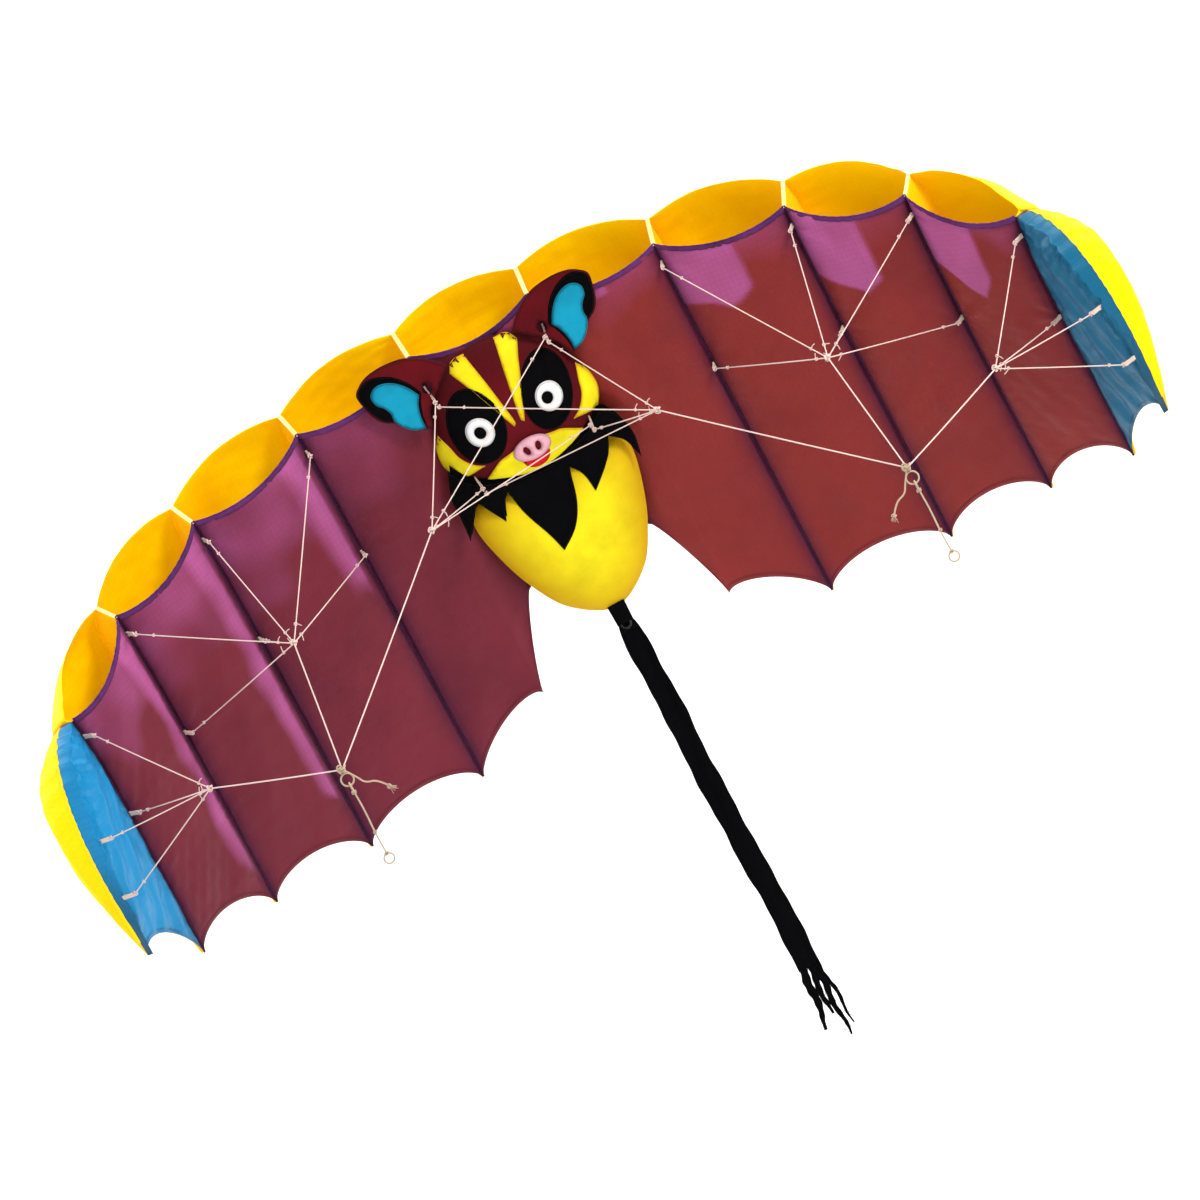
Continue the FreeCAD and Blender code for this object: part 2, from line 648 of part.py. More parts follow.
# ---------------------------------------------------------------- one frame for all
CORDS = ("inner_cascade", "middle_cascade", "tip_cascade", "tow_harness", "leader")
own = FreeCAD.BoundBox()
for obj in NODES:
    if not obj.Label.startswith(CORDS):
        own.add(obj.Shape.BoundBox)
shift = own.Center * -1
for obj in NODES:
    if obj.TypeId == "Part::MultiFuse":
        for piece in obj.Shapes:
            piece.Placement.Base = piece.Placement.Base + shift
    else:
        obj.Placement.Base = obj.Placement.Base + shift
doc.recompute()

folder = "parts"
os.makedirs(folder, exist_ok=True)
for obj in doc.Objects:
    if "Invalid" in obj.State or "Error" in obj.State:
        raise RuntimeError("%s is in state %s" % (obj.Label, obj.State))
for obj in NODES:
    if obj.Shape.isNull() or not obj.Shape.isValid() or not obj.Shape.Solids:
        raise RuntimeError("%s has no valid solid" % obj.Label)
    obj.Shape.exportStep(os.path.join(folder, obj.Label + ".step"))
print("nodes", len(NODES), "shift", tuple(round(c, 3) for c in shift))
for label, point in (("tow_right", loop_centre), ("tail_loop", loop_mid), ("tail_ring", ring_mid),
                     ("leader_eye", eye_centre), ("upper_low", V(0, ring_mid.y, upper_low)),
                     ("fringe_top", V(0, ring_mid.y, fringe_top)), ("knot_inner", inner_knot),
                     ("knot_middle", middle_knot), ("knot_tip", tip_knot), ("knot_tow", tow_knot),
                     ("ear_pin_top", ear_pin[0]), ("ear_pin_low", ear_pin[1])):
    print(label, [round(c, 3) for c in point + shift])
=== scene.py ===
import math

import bmesh
import bpy
import numpy as np
from mathutils import Matrix, Vector
from mathutils.bvhtree import BVHTree
from mathutils.geometry import delaunay_2d_cdt


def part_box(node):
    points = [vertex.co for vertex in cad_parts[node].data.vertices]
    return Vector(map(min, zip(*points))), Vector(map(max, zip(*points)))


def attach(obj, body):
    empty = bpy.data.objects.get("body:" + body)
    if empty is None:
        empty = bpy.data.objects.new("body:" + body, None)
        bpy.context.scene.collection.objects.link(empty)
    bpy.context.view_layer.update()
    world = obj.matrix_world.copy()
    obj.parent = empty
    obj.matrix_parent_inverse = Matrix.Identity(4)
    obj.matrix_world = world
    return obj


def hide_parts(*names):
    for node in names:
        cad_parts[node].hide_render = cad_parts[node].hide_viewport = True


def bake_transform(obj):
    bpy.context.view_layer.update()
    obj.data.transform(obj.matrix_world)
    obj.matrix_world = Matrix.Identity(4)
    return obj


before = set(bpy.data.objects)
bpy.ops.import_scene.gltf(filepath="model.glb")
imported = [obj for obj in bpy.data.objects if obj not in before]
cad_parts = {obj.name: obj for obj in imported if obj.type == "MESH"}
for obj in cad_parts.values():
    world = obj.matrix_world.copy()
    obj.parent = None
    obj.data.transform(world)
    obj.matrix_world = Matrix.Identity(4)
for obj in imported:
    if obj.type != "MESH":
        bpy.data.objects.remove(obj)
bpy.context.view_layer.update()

bl_info = {
    "name": "Bat Parafoil Kite",
    "version": (1, 0, 0),
    "blender": (4, 5, 0),
    "location": "View3D > Sidebar > Kite",
    "description": "Sews the cloth, bridle, bat figure and tail of an arched ram-air kite round its CAD frame",
    "category": "Object",
}

MM = 0.001
TAU = 2 * math.pi
SHIFT = Vector((0.0, 0.009783, 0.69173))
TILT = math.radians(24)
CT, ST = math.cos(TILT), math.sin(TILT)
RIBS = ("inner", "second", "third", "fourth", "outer")
CELLS = ("centre", "cell_two", "cell_three", "cell_four", "cell_five", "tip")
#        across front rear intake thick
RIB_CUT = {"inner": (121, 0, 508, 66, 92), "second": (364, 16, 784, 58, 98),
           "third": (601, 41, 769, 54, 92), "fourth": (797, 89, 729, 42, 80),
           "outer": (947, 168, 686, 12, 66)}
TIP = (1026, 578)
SPIKE_REAR, SPIKE_SHARE = 703, 0.30
# the arch is half an ellipse, this wide from the middle and this high
ARCH_HALF, ARCH_RISE = 1050, 620
SCALLOP, RIB_THICK, SKIN_EDGE = 48, 2, 1.0
BULGE_UP, BULGE_LOW, NOSE_FORWARD, LIP_DIP, NOSE_LEAD, CAMBER = 20, 22, 22, 22, 0.45, 8
FIGURE_STAND, FIGURE_LIFT = 35.8, 45
HEAD_THICK, BELLY_THICK, HEAD_HALF, BELLY_HALF = 62, 52, 155, 160
BELLY_TOP, BELLY_LOW = 304, 590
EAR_LIFT = 24.8
# how far round the nose of the closed end cell its two cloths meet, as a share of the chord
TIP_SEAM = 0.012


# ------------------------------------------------------------------ kite geometry
def place(across, back, down):
    """Row-frame metres for a point given across, back along the chord, down to the flyer."""
    return np.stack(np.broadcast_arrays(
        np.asarray(across, float), ST * np.asarray(back) - CT * np.asarray(down),
        -CT * np.asarray(back) - ST * np.asarray(down)), -1) * MM + np.array(SHIFT)


def point(across, back, down):
    return Vector(place(across, back, down))


def arch(x):
    root = math.sqrt(max(1e-6, 1 - (x / ARCH_HALF) ** 2))
    n = np.array([ARCH_RISE * x / ARCH_HALF, -ARCH_HALF * root])
    n /= np.linalg.norm(n)
    return ARCH_RISE * (1 - root), n[0], n[1]


def smooth_curve(xs, ys, q):
    """Cubic through the given knots, read at q."""
    xs, ys = np.asarray(xs, float), np.asarray(ys, float)
    n = len(xs)
    h = np.diff(xs)
    a = np.zeros((n, n))
    b = np.zeros(n)
    a[0, 0] = a[-1, -1] = 1
    for i in range(1, n - 1):
        a[i, i - 1], a[i, i], a[i, i + 1] = h[i - 1], 2 * (h[i - 1] + h[i]), h[i]
        b[i] = 3 * ((ys[i + 1] - ys[i]) / h[i] - (ys[i] - ys[i - 1]) / h[i - 1])
    c = np.linalg.solve(a, b)
    i = np.clip(np.searchsorted(xs, q, side="right") - 1, 0, n - 2)
    d = q - xs[i]
    slope = (ys[i + 1] - ys[i]) / h[i] - h[i] * (2 * c[i] + c[i + 1]) / 3
    return ys[i] + slope * d + c[i] * d ** 2 + (c[i + 1] - c[i]) / (3 * h[i]) * d ** 3


def rib_cut(k):
    across, front, rear, intake, thick = RIB_CUT[RIBS[k]]
    d, nx, nd = arch(across)
    return dict(x=across, d=d, nx=nx, nd=nd, front=front, rear=rear, intake=intake, thick=thick)


def cell_cut(k, w):
    """Everything that shapes the chordwise cut at share w (an array) across cell k."""
    half = RIB_THICK / 2
    if k == 0:
        b = rib_cut(0)
        a = dict(b, x=-b["x"], nx=-b["nx"])
    elif k < 5:
        a, b = rib_cut(k - 1), rib_cut(k)
    else:
        a = rib_cut(4)
        d, nx, nd = arch(TIP[0])
        b = dict(x=TIP[0], d=d, nx=nx, nd=nd, rear=TIP[1])
    mix = lambda p, q, v=w: p + (q - p) * v
    hump = 4 * w * (1 - w)
    nx, nd = mix(a["nx"], b["nx"]), mix(a["nd"], b["nd"])
    length = np.hypot(nx, nd)
    cut = {"x": mix(a["x"] - a["nd"] * half, b["x"] + b["nd"] * half),
           "d": mix(a["d"] + a["nx"] * half, b["d"] - b["nx"] * half),
           "nx": nx / length, "nd": nd / length, "hump": hump, "closed": k == 5}
    if k == 1:
        v = np.where(w < SPIKE_SHARE, w / SPIKE_SHARE, (w - SPIKE_SHARE) / (1 - SPIKE_SHARE))
        dip = (4 * v * (1 - v)) ** 0.65
        cut["rear"] = np.where(w < SPIKE_SHARE, mix(a["rear"], SPIKE_REAR, v) - 0.5 * SCALLOP * dip,
                               mix(SPIKE_REAR, b["rear"], v) - 0.7 * SCALLOP * dip)
    else:
        cut["rear"] = mix(a["rear"], b["rear"]) - SCALLOP * hump ** 0.65
    if k < 5:
        intake = mix(a["intake"], b["intake"])
        full = hump ** (0.62 if k else 1.0)
        cut.update(front=mix(a["front"], b["front"]) + LIP_DIP * hump, intake=intake,
                   thick=mix(a["thick"], b["thick"]), up=BULGE_UP * hump, low=BULGE_LOW * full,
                   lead=intake * NOSE_LEAD + (NOSE_FORWARD + LIP_DIP) * hump)
    else:
        sweep = 1 - (1 - w ** 2.2) ** (1 / 2.2)
        closing = np.sqrt(np.maximum(0, 1 - w ** 3))
        gather = 2.2 * np.sin(46 * w + 5 * w * w) * np.clip(6 * w * (1 - w), 0, 1)
        cut.update(front=mix(a["front"], b["rear"], sweep) + gather, intake=a["intake"] * closing,
                   thick=(a["thick"] + 6) * closing, up=BULGE_UP * hump,
                   low=0.5 * BULGE_LOW * hump, lead=a["intake"] * NOSE_LEAD * closing)
    return cut


def skin_height(cut, f, upper):
    """(back, height) over the chord line at share f along the cut."""
    if upper:
        nose = cut["front"] - cut["lead"]
        back = nose + (cut["rear"] - nose) * f
        if cut.get("closed"):
            back = cut["front"] + (cut["rear"] - cut["front"]) * f
            nose_round = 0.95 * np.sqrt(np.clip(1 - (1 - f / 0.13) ** 2, 0, 1))
            shape = np.where(f < 0.13, nose_round, smooth_curve(
                [.13, .28, .45, .65, .83, 1], [.95, 1, .90, .64, .32, 0], np.maximum(f, .13)))
            lifted = np.clip(shape, 0, 1)
            return back, SKIN_EDGE * (2 * lifted - 1) - cut["low"] * (1 - lifted) * (f < 0.13) \
                + cut["thick"] * shape + cut["up"] * (1 - f ** 3) * np.clip(f / 0.13, 0, 1)
        first = np.minimum(1.0, cut["intake"] / np.maximum(cut["thick"], 1e-3))
        nose = cut["front"] - cut["lead"]
        back = nose + (cut["rear"] - nose) * f
        knots = [0, .05, .13, .28, .45, .65, .83, 1]
        shape = smooth_curve(knots, [0, .80, .95, 1, .90, .64, .32, 0], f) \
            + first * smooth_curve(knots, [1, 0, 0, 0, 0, 0, 0, 0], f)
        return back, SKIN_EDGE + cut["thick"] * shape + cut["up"] * (1 - f ** 3)
    back = cut["front"] + (cut["rear"] - cut["front"]) * f
    shape = smooth_curve([0, .10, .25, .50, .75, 1], [0, .7, 1, .8, .4, 0], f)
    return back, -SKIN_EDGE - CAMBER * shape - cut["low"] * (1 - f ** 3)


def skin_point(k, w, f, upper, lift=0.0, side=1):
    """A row-frame point on a skin, lifted off its outer face by lift mm."""
    w, f = np.asarray(w, float), np.asarray(f, float)
    cut = cell_cut(k, w)
    back, height = skin_height(cut, f, upper)
    height = height + (1 + lift) * (1 if upper else -1)
    p = place(cut["x"] + cut["nx"] * height, back, cut["d"] + cut["nd"] * height)
    p[..., 0] *= side
    return p


def rib_point(k, back, height, side=1, aside=0.0):
    """A row-frame point in rib k's plane, aside mm out along the span."""
    r = rib_cut(k)
    p = place(r["x"] + r["nx"] * height - r["nd"] * aside, back,
              r["d"] + r["nd"] * height + r["nx"] * aside)
    p[..., 0] *= side
    return p


def rib_heights(k, f, upper):
    r = rib_cut(k)
    cut = dict(r, up=0, low=0, lead=r["intake"] * NOSE_LEAD)
    return skin_height(cut, np.asarray(f, float), upper)


def ripple(u, v, seed, size, count=7):
    """Smooth repeatable noise, about -1 to 1, with features of the given size."""
    rng = np.random.default_rng(seed)
    total = 0
    for _ in range(count):
        a, p = rng.uniform(0, TAU, 2)
        s = rng.uniform(0.6, 1.6) / size
        total = total + np.sin(TAU * s * (u * math.cos(a) + v * math.sin(a)) + p)
    return total / math.sqrt(count)


# ------------------------------------------------------------------ mesh helpers
def new_mesh(name, verts, faces, material, uv=None, marks=None, flat_from=None, orient=True):
    """A mesh object at the origin; uv and marks are given for each vertex."""
    verts = np.asarray(verts, float)
    mesh = bpy.data.meshes.new(name)
    mesh.from_pydata(verts.tolist(), [], [list(f) for f in faces])
    mesh.update()
    if orient:
        mesh.calc_loop_triangles()
        tri = np.zeros(len(mesh.loop_triangles) * 3, int)
        mesh.loop_triangles.foreach_get("vertices", tri)
        a, b, c = (verts[tri[i::3]] - verts.mean(0) for i in range(3))
        if np.einsum("ij,ij->i", a, np.cross(b, c)).sum() < 0:
            mesh.flip_normals()
    smooth = np.ones(len(mesh.polygons), bool)
    if flat_from is not None:
        smooth[flat_from:] = False
    mesh.polygons.foreach_set("use_smooth", smooth)
    loops = np.zeros(len(mesh.loops), int)
    mesh.loops.foreach_get("vertex_index", loops)
    if uv is not None:
        layer = mesh.uv_layers.new(name="cloth")
        layer.data.foreach_set("uv", np.asarray(uv, float)[loops].astype(np.float32).ravel())
    for key, values in (marks or {}).items():
        att = mesh.attributes.new(key, "FLOAT", "POINT")
        att.data.foreach_set("value", np.asarray(values, np.float32).ravel())
    mesh.materials.append(material)
    obj = bpy.data.objects.new(name, mesh)
    bpy.context.scene.collection.objects.link(obj)
    return obj


def grid_normals(p):
    du, dv = np.gradient(p, axis=0), np.gradient(p, axis=1)
    n = np.cross(du, dv)
    return n / np.maximum(np.linalg.norm(n, axis=-1, keepdims=True), 1e-12)


def cloth_shell(name, mid, thick, uv, marks, material):
    """A closed thin cloth: two faces thick mm apart round a grid of points, and its raw edges."""
    n = grid_normals(mid) * thick * MM / 2
    rows, cols = mid.shape[:2]
    verts = np.concatenate([(mid + n).reshape(-1, 3), (mid - n).reshape(-1, 3)])
    ids = np.arange(rows * cols).reshape(rows, cols)
    low = ids + rows * cols
    faces = np.stack([ids[:-1, :-1], ids[1:, :-1], ids[1:, 1:], ids[:-1, 1:]], -1).reshape(-1, 4)
    back = np.stack([low[:-1, :-1], low[:-1, 1:], low[1:, 1:], low[1:, :-1]], -1).reshape(-1, 4)
    ring = np.concatenate([ids[0, :-1], ids[:-1, -1], ids[-1, :0:-1], ids[:0:-1, 0]])
    nxt = np.roll(ring, -1)
    rim = np.stack([ring, nxt, nxt + rows * cols, ring + rows * cols], -1)
    faces = np.concatenate([faces, back, rim])
    both = {k: np.tile(np.asarray(v).ravel(), 2) for k, v in marks.items()}
    return new_mesh(name, verts, faces, material, np.tile(uv.reshape(-1, 2), (2, 1)), both,
                    flat_from=len(faces) - len(rim))


def flat_area(mid):
    a = mid[1:, :-1] - mid[:-1, :-1]
    b = mid[:-1, 1:] - mid[:-1, :-1]
    c, d = mid[1:, :-1] - mid[1:, 1:], mid[:-1, 1:] - mid[1:, 1:]
    return float((np.linalg.norm(np.cross(a, b), axis=-1) + np.linalg.norm(np.cross(c, d), axis=-1)).sum()
                 / 2)


def ride(obj, body, *nodes, slot=None):
    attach(obj, body)
    for node in nodes:
        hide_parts(node)
    return obj


def inside(poly, pts):
    poly, pts = np.asarray(poly), np.asarray(pts)
    x, y = pts[:, 0:1], pts[:, 1:2]
    x0, y0 = poly[:, 0], poly[:, 1]
    x1, y1 = np.roll(x0, -1), np.roll(y0, -1)
    hit = ((y0 > y) != (y1 > y)) & (x < (x1 - x0) * (y - y0) / np.where(y1 == y0, 1e-9, y1 - y0) + x0)
    return hit.sum(1) % 2 == 1


def fill_shape(outline, step, holes=()):
    """Even triangles inside an outline, with holes left open: points and triangles."""
    outline = np.asarray(outline, float)
    lo, hi = outline.min(0), outline.max(0)
    gx, gy = np.meshgrid(np.arange(lo[0], hi[0], step), np.arange(lo[1], hi[1], step * 0.866))
    gx = gx + (np.arange(gx.shape[0]) % 2)[:, None] * step / 2
    pts = np.stack([gx.ravel(), gy.ravel()], -1)
    loops = [outline] + [np.asarray(h, float) for h in holes]
    keep = inside(outline, pts)
    for h in loops[1:]:
        keep &= ~inside(h, pts)
    pts = pts[keep]
    if len(pts):
        for loop in loops:
            near = np.sqrt(((pts[:, None] - loop[None]) ** 2).sum(-1)).min(1)
            pts = pts[near > step * 0.55]
            if not len(pts):
                break
    verts, edges, start = [], [], 0
    for loop in loops:
        verts += [Vector(p) for p in loop]
        edges += [(start + i, start + (i + 1) % len(loop)) for i in range(len(loop))]
        start += len(loop)
    verts += [Vector(p) for p in pts]
    out, _, tris, *_ = delaunay_2d_cdt(verts, edges, [], 0, 1e-6)
    out = np.array([[p.x, p.y] for p in out])
    tris = np.array([t for t in tris if len(t) == 3])
    mids = out[tris].mean(1)
    keep = inside(outline, mids)
    for h in loops[1:]:
        keep &= ~inside(h, mids)
    return out, tris[keep]


def open_edges(tris):
    seen = {}
    for t in tris:
        for i in range(3):
            a, b = int(t[i]), int(t[(i + 1) % 3])
            if (b, a) in seen:
                seen.pop((b, a))
            else:
                seen[(a, b)] = True
    return np.array(list(seen))


def plate_from(name, top, low, tris, material, uv=None, marks=None):
    """A closed plate from matching top and bottom points over one triangulation."""
    n = len(top)
    rim = open_edges(tris)
    faces = [tuple(t) for t in tris] + [tuple(t[::-1] + n) for t in tris]
    start = len(faces)
    faces += [(b, a, a + n, b + n) for a, b in rim]
    uv = None if uv is None else np.tile(uv, (2, 1))
    marks = {k: np.tile(v, 2) for k, v in (marks or {}).items()}
    return new_mesh(name, np.concatenate([top, low]), faces, material, uv, marks, flat_from=start)


def closed_curve(points, count, corner=()):
    """Smooth closed outline through the points; indexes in corner stay sharp."""
    p = np.asarray(points, float)
    n = len(p)
    out = []
    per = max(2, count // n)
    for i in range(n):
        a, b, c, d = p[(i - 1) % n], p[i], p[(i + 1) % n], p[(i + 2) % n]
        ta = (c - a) / 2 if i not in corner else (c - b)
        tb = (d - b) / 2 if (i + 1) % n not in corner else (c - b)
        for q in np.arange(per) / per:
            out.append((2 * q ** 3 - 3 * q ** 2 + 1) * b + (q ** 3 - 2 * q ** 2 + q) * ta
                       + (3 * q ** 2 - 2 * q ** 3) * c + (q ** 3 - q ** 2) * tb)
    return np.array(out)


def oval_points(cx, cy, rx, ry, turn=0.0, count=48):
    a = np.arange(count) * TAU / count
    x, y = rx * np.cos(a), ry * np.sin(a)
    return np.stack([cx + x * math.cos(turn) - y * math.sin(turn),
                     cy + x * math.sin(turn) + y * math.cos(turn)], -1)


def tube_arrays(path, radius, sides=8, closed=False):
    """Vertices, faces and uv of a round cord along a path; radius may vary along it."""
    path = np.asarray(path, float)
    n = len(path)
    if closed:
        tangent = np.roll(path, -1, 0) - np.roll(path, 1, 0)
    else:
        tangent = np.gradient(path, axis=0)
    tangent /= np.maximum(np.linalg.norm(tangent, axis=1, keepdims=True), 1e-12)
    ref = np.array([0, 0, 1.0]) if abs(tangent[0][2]) < 0.9 else np.array([1.0, 0, 0])
    normal = np.zeros_like(path)
    v = ref - tangent[0] * (ref @ tangent[0])
    for i in range(n):
        v = v - tangent[i] * (v @ tangent[i])
        v /= max(np.linalg.norm(v), 1e-12)
        normal[i] = v
    side = np.cross(tangent, normal)
    a = np.arange(sides) * TAU / sides
    r = np.broadcast_to(np.asarray(radius, float), (n,))[:, None, None]
    ring = path[:, None] + r * (np.cos(a)[None, :, None] * normal[:, None]
                                + np.sin(a)[None, :, None] * side[:, None])
    ids = np.arange(n * sides).reshape(n, sides)
    rows = range(n if closed else n - 1)
    faces = [(ids[i, j], ids[(i + 1) % n, j], ids[(i + 1) % n, (j + 1) % sides], ids[i, (j + 1) % sides])
             for i in rows for j in range(sides)]
    if not closed:
        faces += [tuple(ids[0]), tuple(ids[-1][::-1])]
    run = np.concatenate([[0], np.cumsum(np.linalg.norm(np.diff(path, axis=0), axis=1))])
    uv = np.stack(np.broadcast_arrays((a / TAU * 0.008)[None, :], run[:, None]), -1).reshape(-1, 2)
    return ring.reshape(-1, 3), faces, uv


def tube(name, path, radius, material, sides=8, closed=False):
    verts, faces, uv = tube_arrays(path, radius, sides, closed)
    return new_mesh(name, verts, faces, material, uv)


def join_parts(name, parts, material):
    """One mesh from (verts, faces, uv) parts, each already a closed shape."""
    verts, faces, uvs, start = [], [], [], 0
    for v, f, uv in parts:
        verts.append(v)
        uvs.append(uv)
        faces += [tuple(int(i) + start for i in face) for face in f]
        start += len(v)
    obj = new_mesh(name, np.concatenate(verts), faces, material, np.concatenate(uvs), orient=False)
    bm = bmesh.new()
    bm.from_mesh(obj.data)
    bmesh.ops.recalc_face_normals(bm, faces=bm.faces)
    bm.to_mesh(obj.data)
    bm.free()
    return obj


def knot_path(centre, along, size, turns=2, count=40):
    """A pulled overhand knot as a small closed trefoil of cord round a line."""
    z = Vector(along).normalized()
    x = z.orthogonal().normalized()
    y = z.cross(x)
    t = np.arange(count) * TAU / count
    px, py = np.sin(t) + 2 * np.sin(turns * t), np.cos(t) - 2 * np.cos(turns * t)
    pz = -np.sin(3 * t)
    x, y, z, c = (np.array(v) for v in (x, y, z, Vector(centre)))
    return c + (px[:, None] * x + py[:, None] * y) * size / 3 + pz[:, None] * z * size * 0.55


# ------------------------------------------------------------------ material helpers
class Nodes:
    """Short hand for building a material's node tree."""

    def __init__(self, name):
        self.mat = bpy.data.materials.new(name)
        self.mat.use_nodes = True
        self.tree = self.mat.node_tree
        self.tree.nodes.clear()
        self.out = self.add("ShaderNodeOutputMaterial")
        self.bsdf = self.add("ShaderNodeBsdfPrincipled")
        self.link(self.bsdf.outputs[0], self.out.inputs[0])

    def add(self, kind, **props):
        node = self.tree.nodes.new(kind)
        for key, value in props.items():
            setattr(node, key, value)
        return node

    def link(self, a, b):
        self.tree.links.new(a, b)

    def put(self, socket, value):
        if hasattr(value, "is_output"):
            self.link(value, socket)
        else:
            socket.default_value = value

    def math(self, op, a, b=0.0, clamp=False):
        node = self.add("ShaderNodeMath", operation=op, use_clamp=clamp)
        self.put(node.inputs[0], a)
        self.put(node.inputs[1], b)
        return node.outputs[0]

    def uv(self):
        return self.add("ShaderNodeUVMap", uv_map="cloth").outputs[0]

    def position(self):
        return self.add("ShaderNodeTexCoord").outputs["Object"]

    def mark(self, name):
        return self.add("ShaderNodeAttribute", attribute_name=name).outputs["Fac"]

    def noise(self, vector, scale, detail=3.0, rough=0.55):
        node = self.add("ShaderNodeTexNoise")
        self.put(node.inputs["Vector"], vector)
        node.inputs["Scale"].default_value = scale
        node.inputs["Detail"].default_value = detail
        node.inputs["Roughness"].default_value = rough
        return node.outputs["Fac"]

    def wave(self, vector, scale, direction, profile="SIN", distortion=0.0):
        node = self.add("ShaderNodeTexWave", wave_type="BANDS", bands_direction=direction,
                        wave_profile=profile)
        self.put(node.inputs["Vector"], vector)
        node.inputs["Scale"].default_value = scale
        node.inputs["Distortion"].default_value = distortion
        return node.outputs["Fac"]

    def ramp(self, value, *stops):
        node = self.add("ShaderNodeValToRGB")
        self.put(node.inputs[0], value)
        items = node.color_ramp.elements
        while len(items) < len(stops):
            items.new(0.5)
        for item, (pos, colour) in zip(items, stops):
            item.position = pos
            item.color = (*colour, 1) if len(colour) == 3 else colour
        return node.outputs[0]

    def mix(self, share, a, b, mode="MIX"):
        node = self.add("ShaderNodeMix", data_type="RGBA", blend_type=mode)
        self.put(node.inputs[0], share)
        for socket, value in ((node.inputs[6], a), (node.inputs[7], b)):
            self.put(socket, (*value, 1) if isinstance(value, tuple) and len(value) == 3 else value)
        return node.outputs[2]

    def bump(self, height, strength, distance, under=None):
        node = self.add("ShaderNodeBump")
        node.inputs["Strength"].default_value = strength
        node.inputs["Distance"].default_value = distance
        self.put(node.inputs["Height"], height)
        if under is not None:
            self.link(under, node.inputs["Normal"])
        return node.outputs[0]


def tone(colour, k):
    return tuple(min(1.0, c * k) for c in colour)


def ripstop(name, base, deep, sheen, patch=None, left_light_colour=None, rough=0.42, gloss=0.16, glow=0.0,
            seam=None):
    """Coated ripstop: fine plain weave, a raised thread grid, creases, shaded seams, hems; where asked, a
    painted violet sheen, painted light and shade that differs between the two wings, and a glow of painted
    light.
    """
    n = Nodes(name)
    uv, pos = n.uv(), n.position()
    grid_u = n.wave(uv, 31.0, "X")
    grid_v = n.wave(uv, 31.0, "Y")
    line = n.math("MAXIMUM", n.math("POWER", grid_u, 14.0), n.math("POWER", grid_v, 14.0))
    weave = n.math("MULTIPLY", n.wave(uv, 420.0, "X"), n.wave(uv, 420.0, "Y"))
    patchy = n.noise(pos, 6.5, 5.0)
    colour = n.ramp(patchy, (0.28, deep), (0.5, base), (0.78, tone(base, 1.10)))
    # painted light and shade: the left wing takes its own colour, darker on the maroon cloth and brighter on
    # the blue tip, as the sun falls on the two wings differently
    if left_light_colour is not None:
        left_light_ramp = n.ramp(patchy, (0.28, tone(left_light_colour, 0.8)), (0.5, left_light_colour), (0.78, tone(left_light_colour, 1.12)))
        colour = n.mix(n.mark("warm"), left_light_ramp, colour)
    # painted highlight: the violet is laid where the sheen mark says, broken up by noise
    if patch is not None:
        streak = n.noise(pos, 9.0, 4.0, 0.55)
        share = n.math("MULTIPLY", n.mark("sheen"), n.math("ADD", n.math("MULTIPLY", streak, 0.9), 0.45),
                       clamp=True)
        colour = n.mix(share, colour, patch)
    colour = n.mix(n.math("MULTIPLY", n.mark("seam_shade"), 0.86), colour, seam or tone(deep, 0.45))
    colour = n.mix(n.math("MULTIPLY", line, 0.13), colour, tone(deep, 0.8))
    colour = n.mix(n.math("MULTIPLY", n.mark("hem"), 0.28), colour, tone(deep, 0.6))
    n.link(colour, n.bsdf.inputs["Base Color"])
    grain = n.noise(pos, 55.0, 4.0)
    n.link(n.math("ADD", n.math("MULTIPLY", grain, 0.22), rough - 0.08), n.bsdf.inputs["Roughness"])
    b = n.bump(n.noise(uv, 34.0, 4.0, 0.6), 0.30, 0.004)
    b = n.bump(n.noise(uv, 120.0, 3.0), 0.15, 0.001, b)
    b = n.bump(line, 0.25, 0.0004, b)
    b = n.bump(weave, 0.12, 0.0002, b)
    n.link(b, n.bsdf.inputs["Normal"])
    n.bsdf.inputs["Sheen Weight"].default_value = 0.04
    n.bsdf.inputs["Sheen Roughness"].default_value = 0.35
    n.bsdf.inputs["Sheen Tint"].default_value = (*sheen, 1)
    n.bsdf.inputs["Specular IOR Level"].default_value = gloss
    n.bsdf.inputs["Specular Tint"].default_value = (*sheen, 1)
    # painted light: the cloth glows in its own colour, lightening it as if lit through
    if glow:
        n.link(colour, n.bsdf.inputs["Emission Color"])
        n.bsdf.inputs["Emission Strength"].default_value = glow
    return n.mat


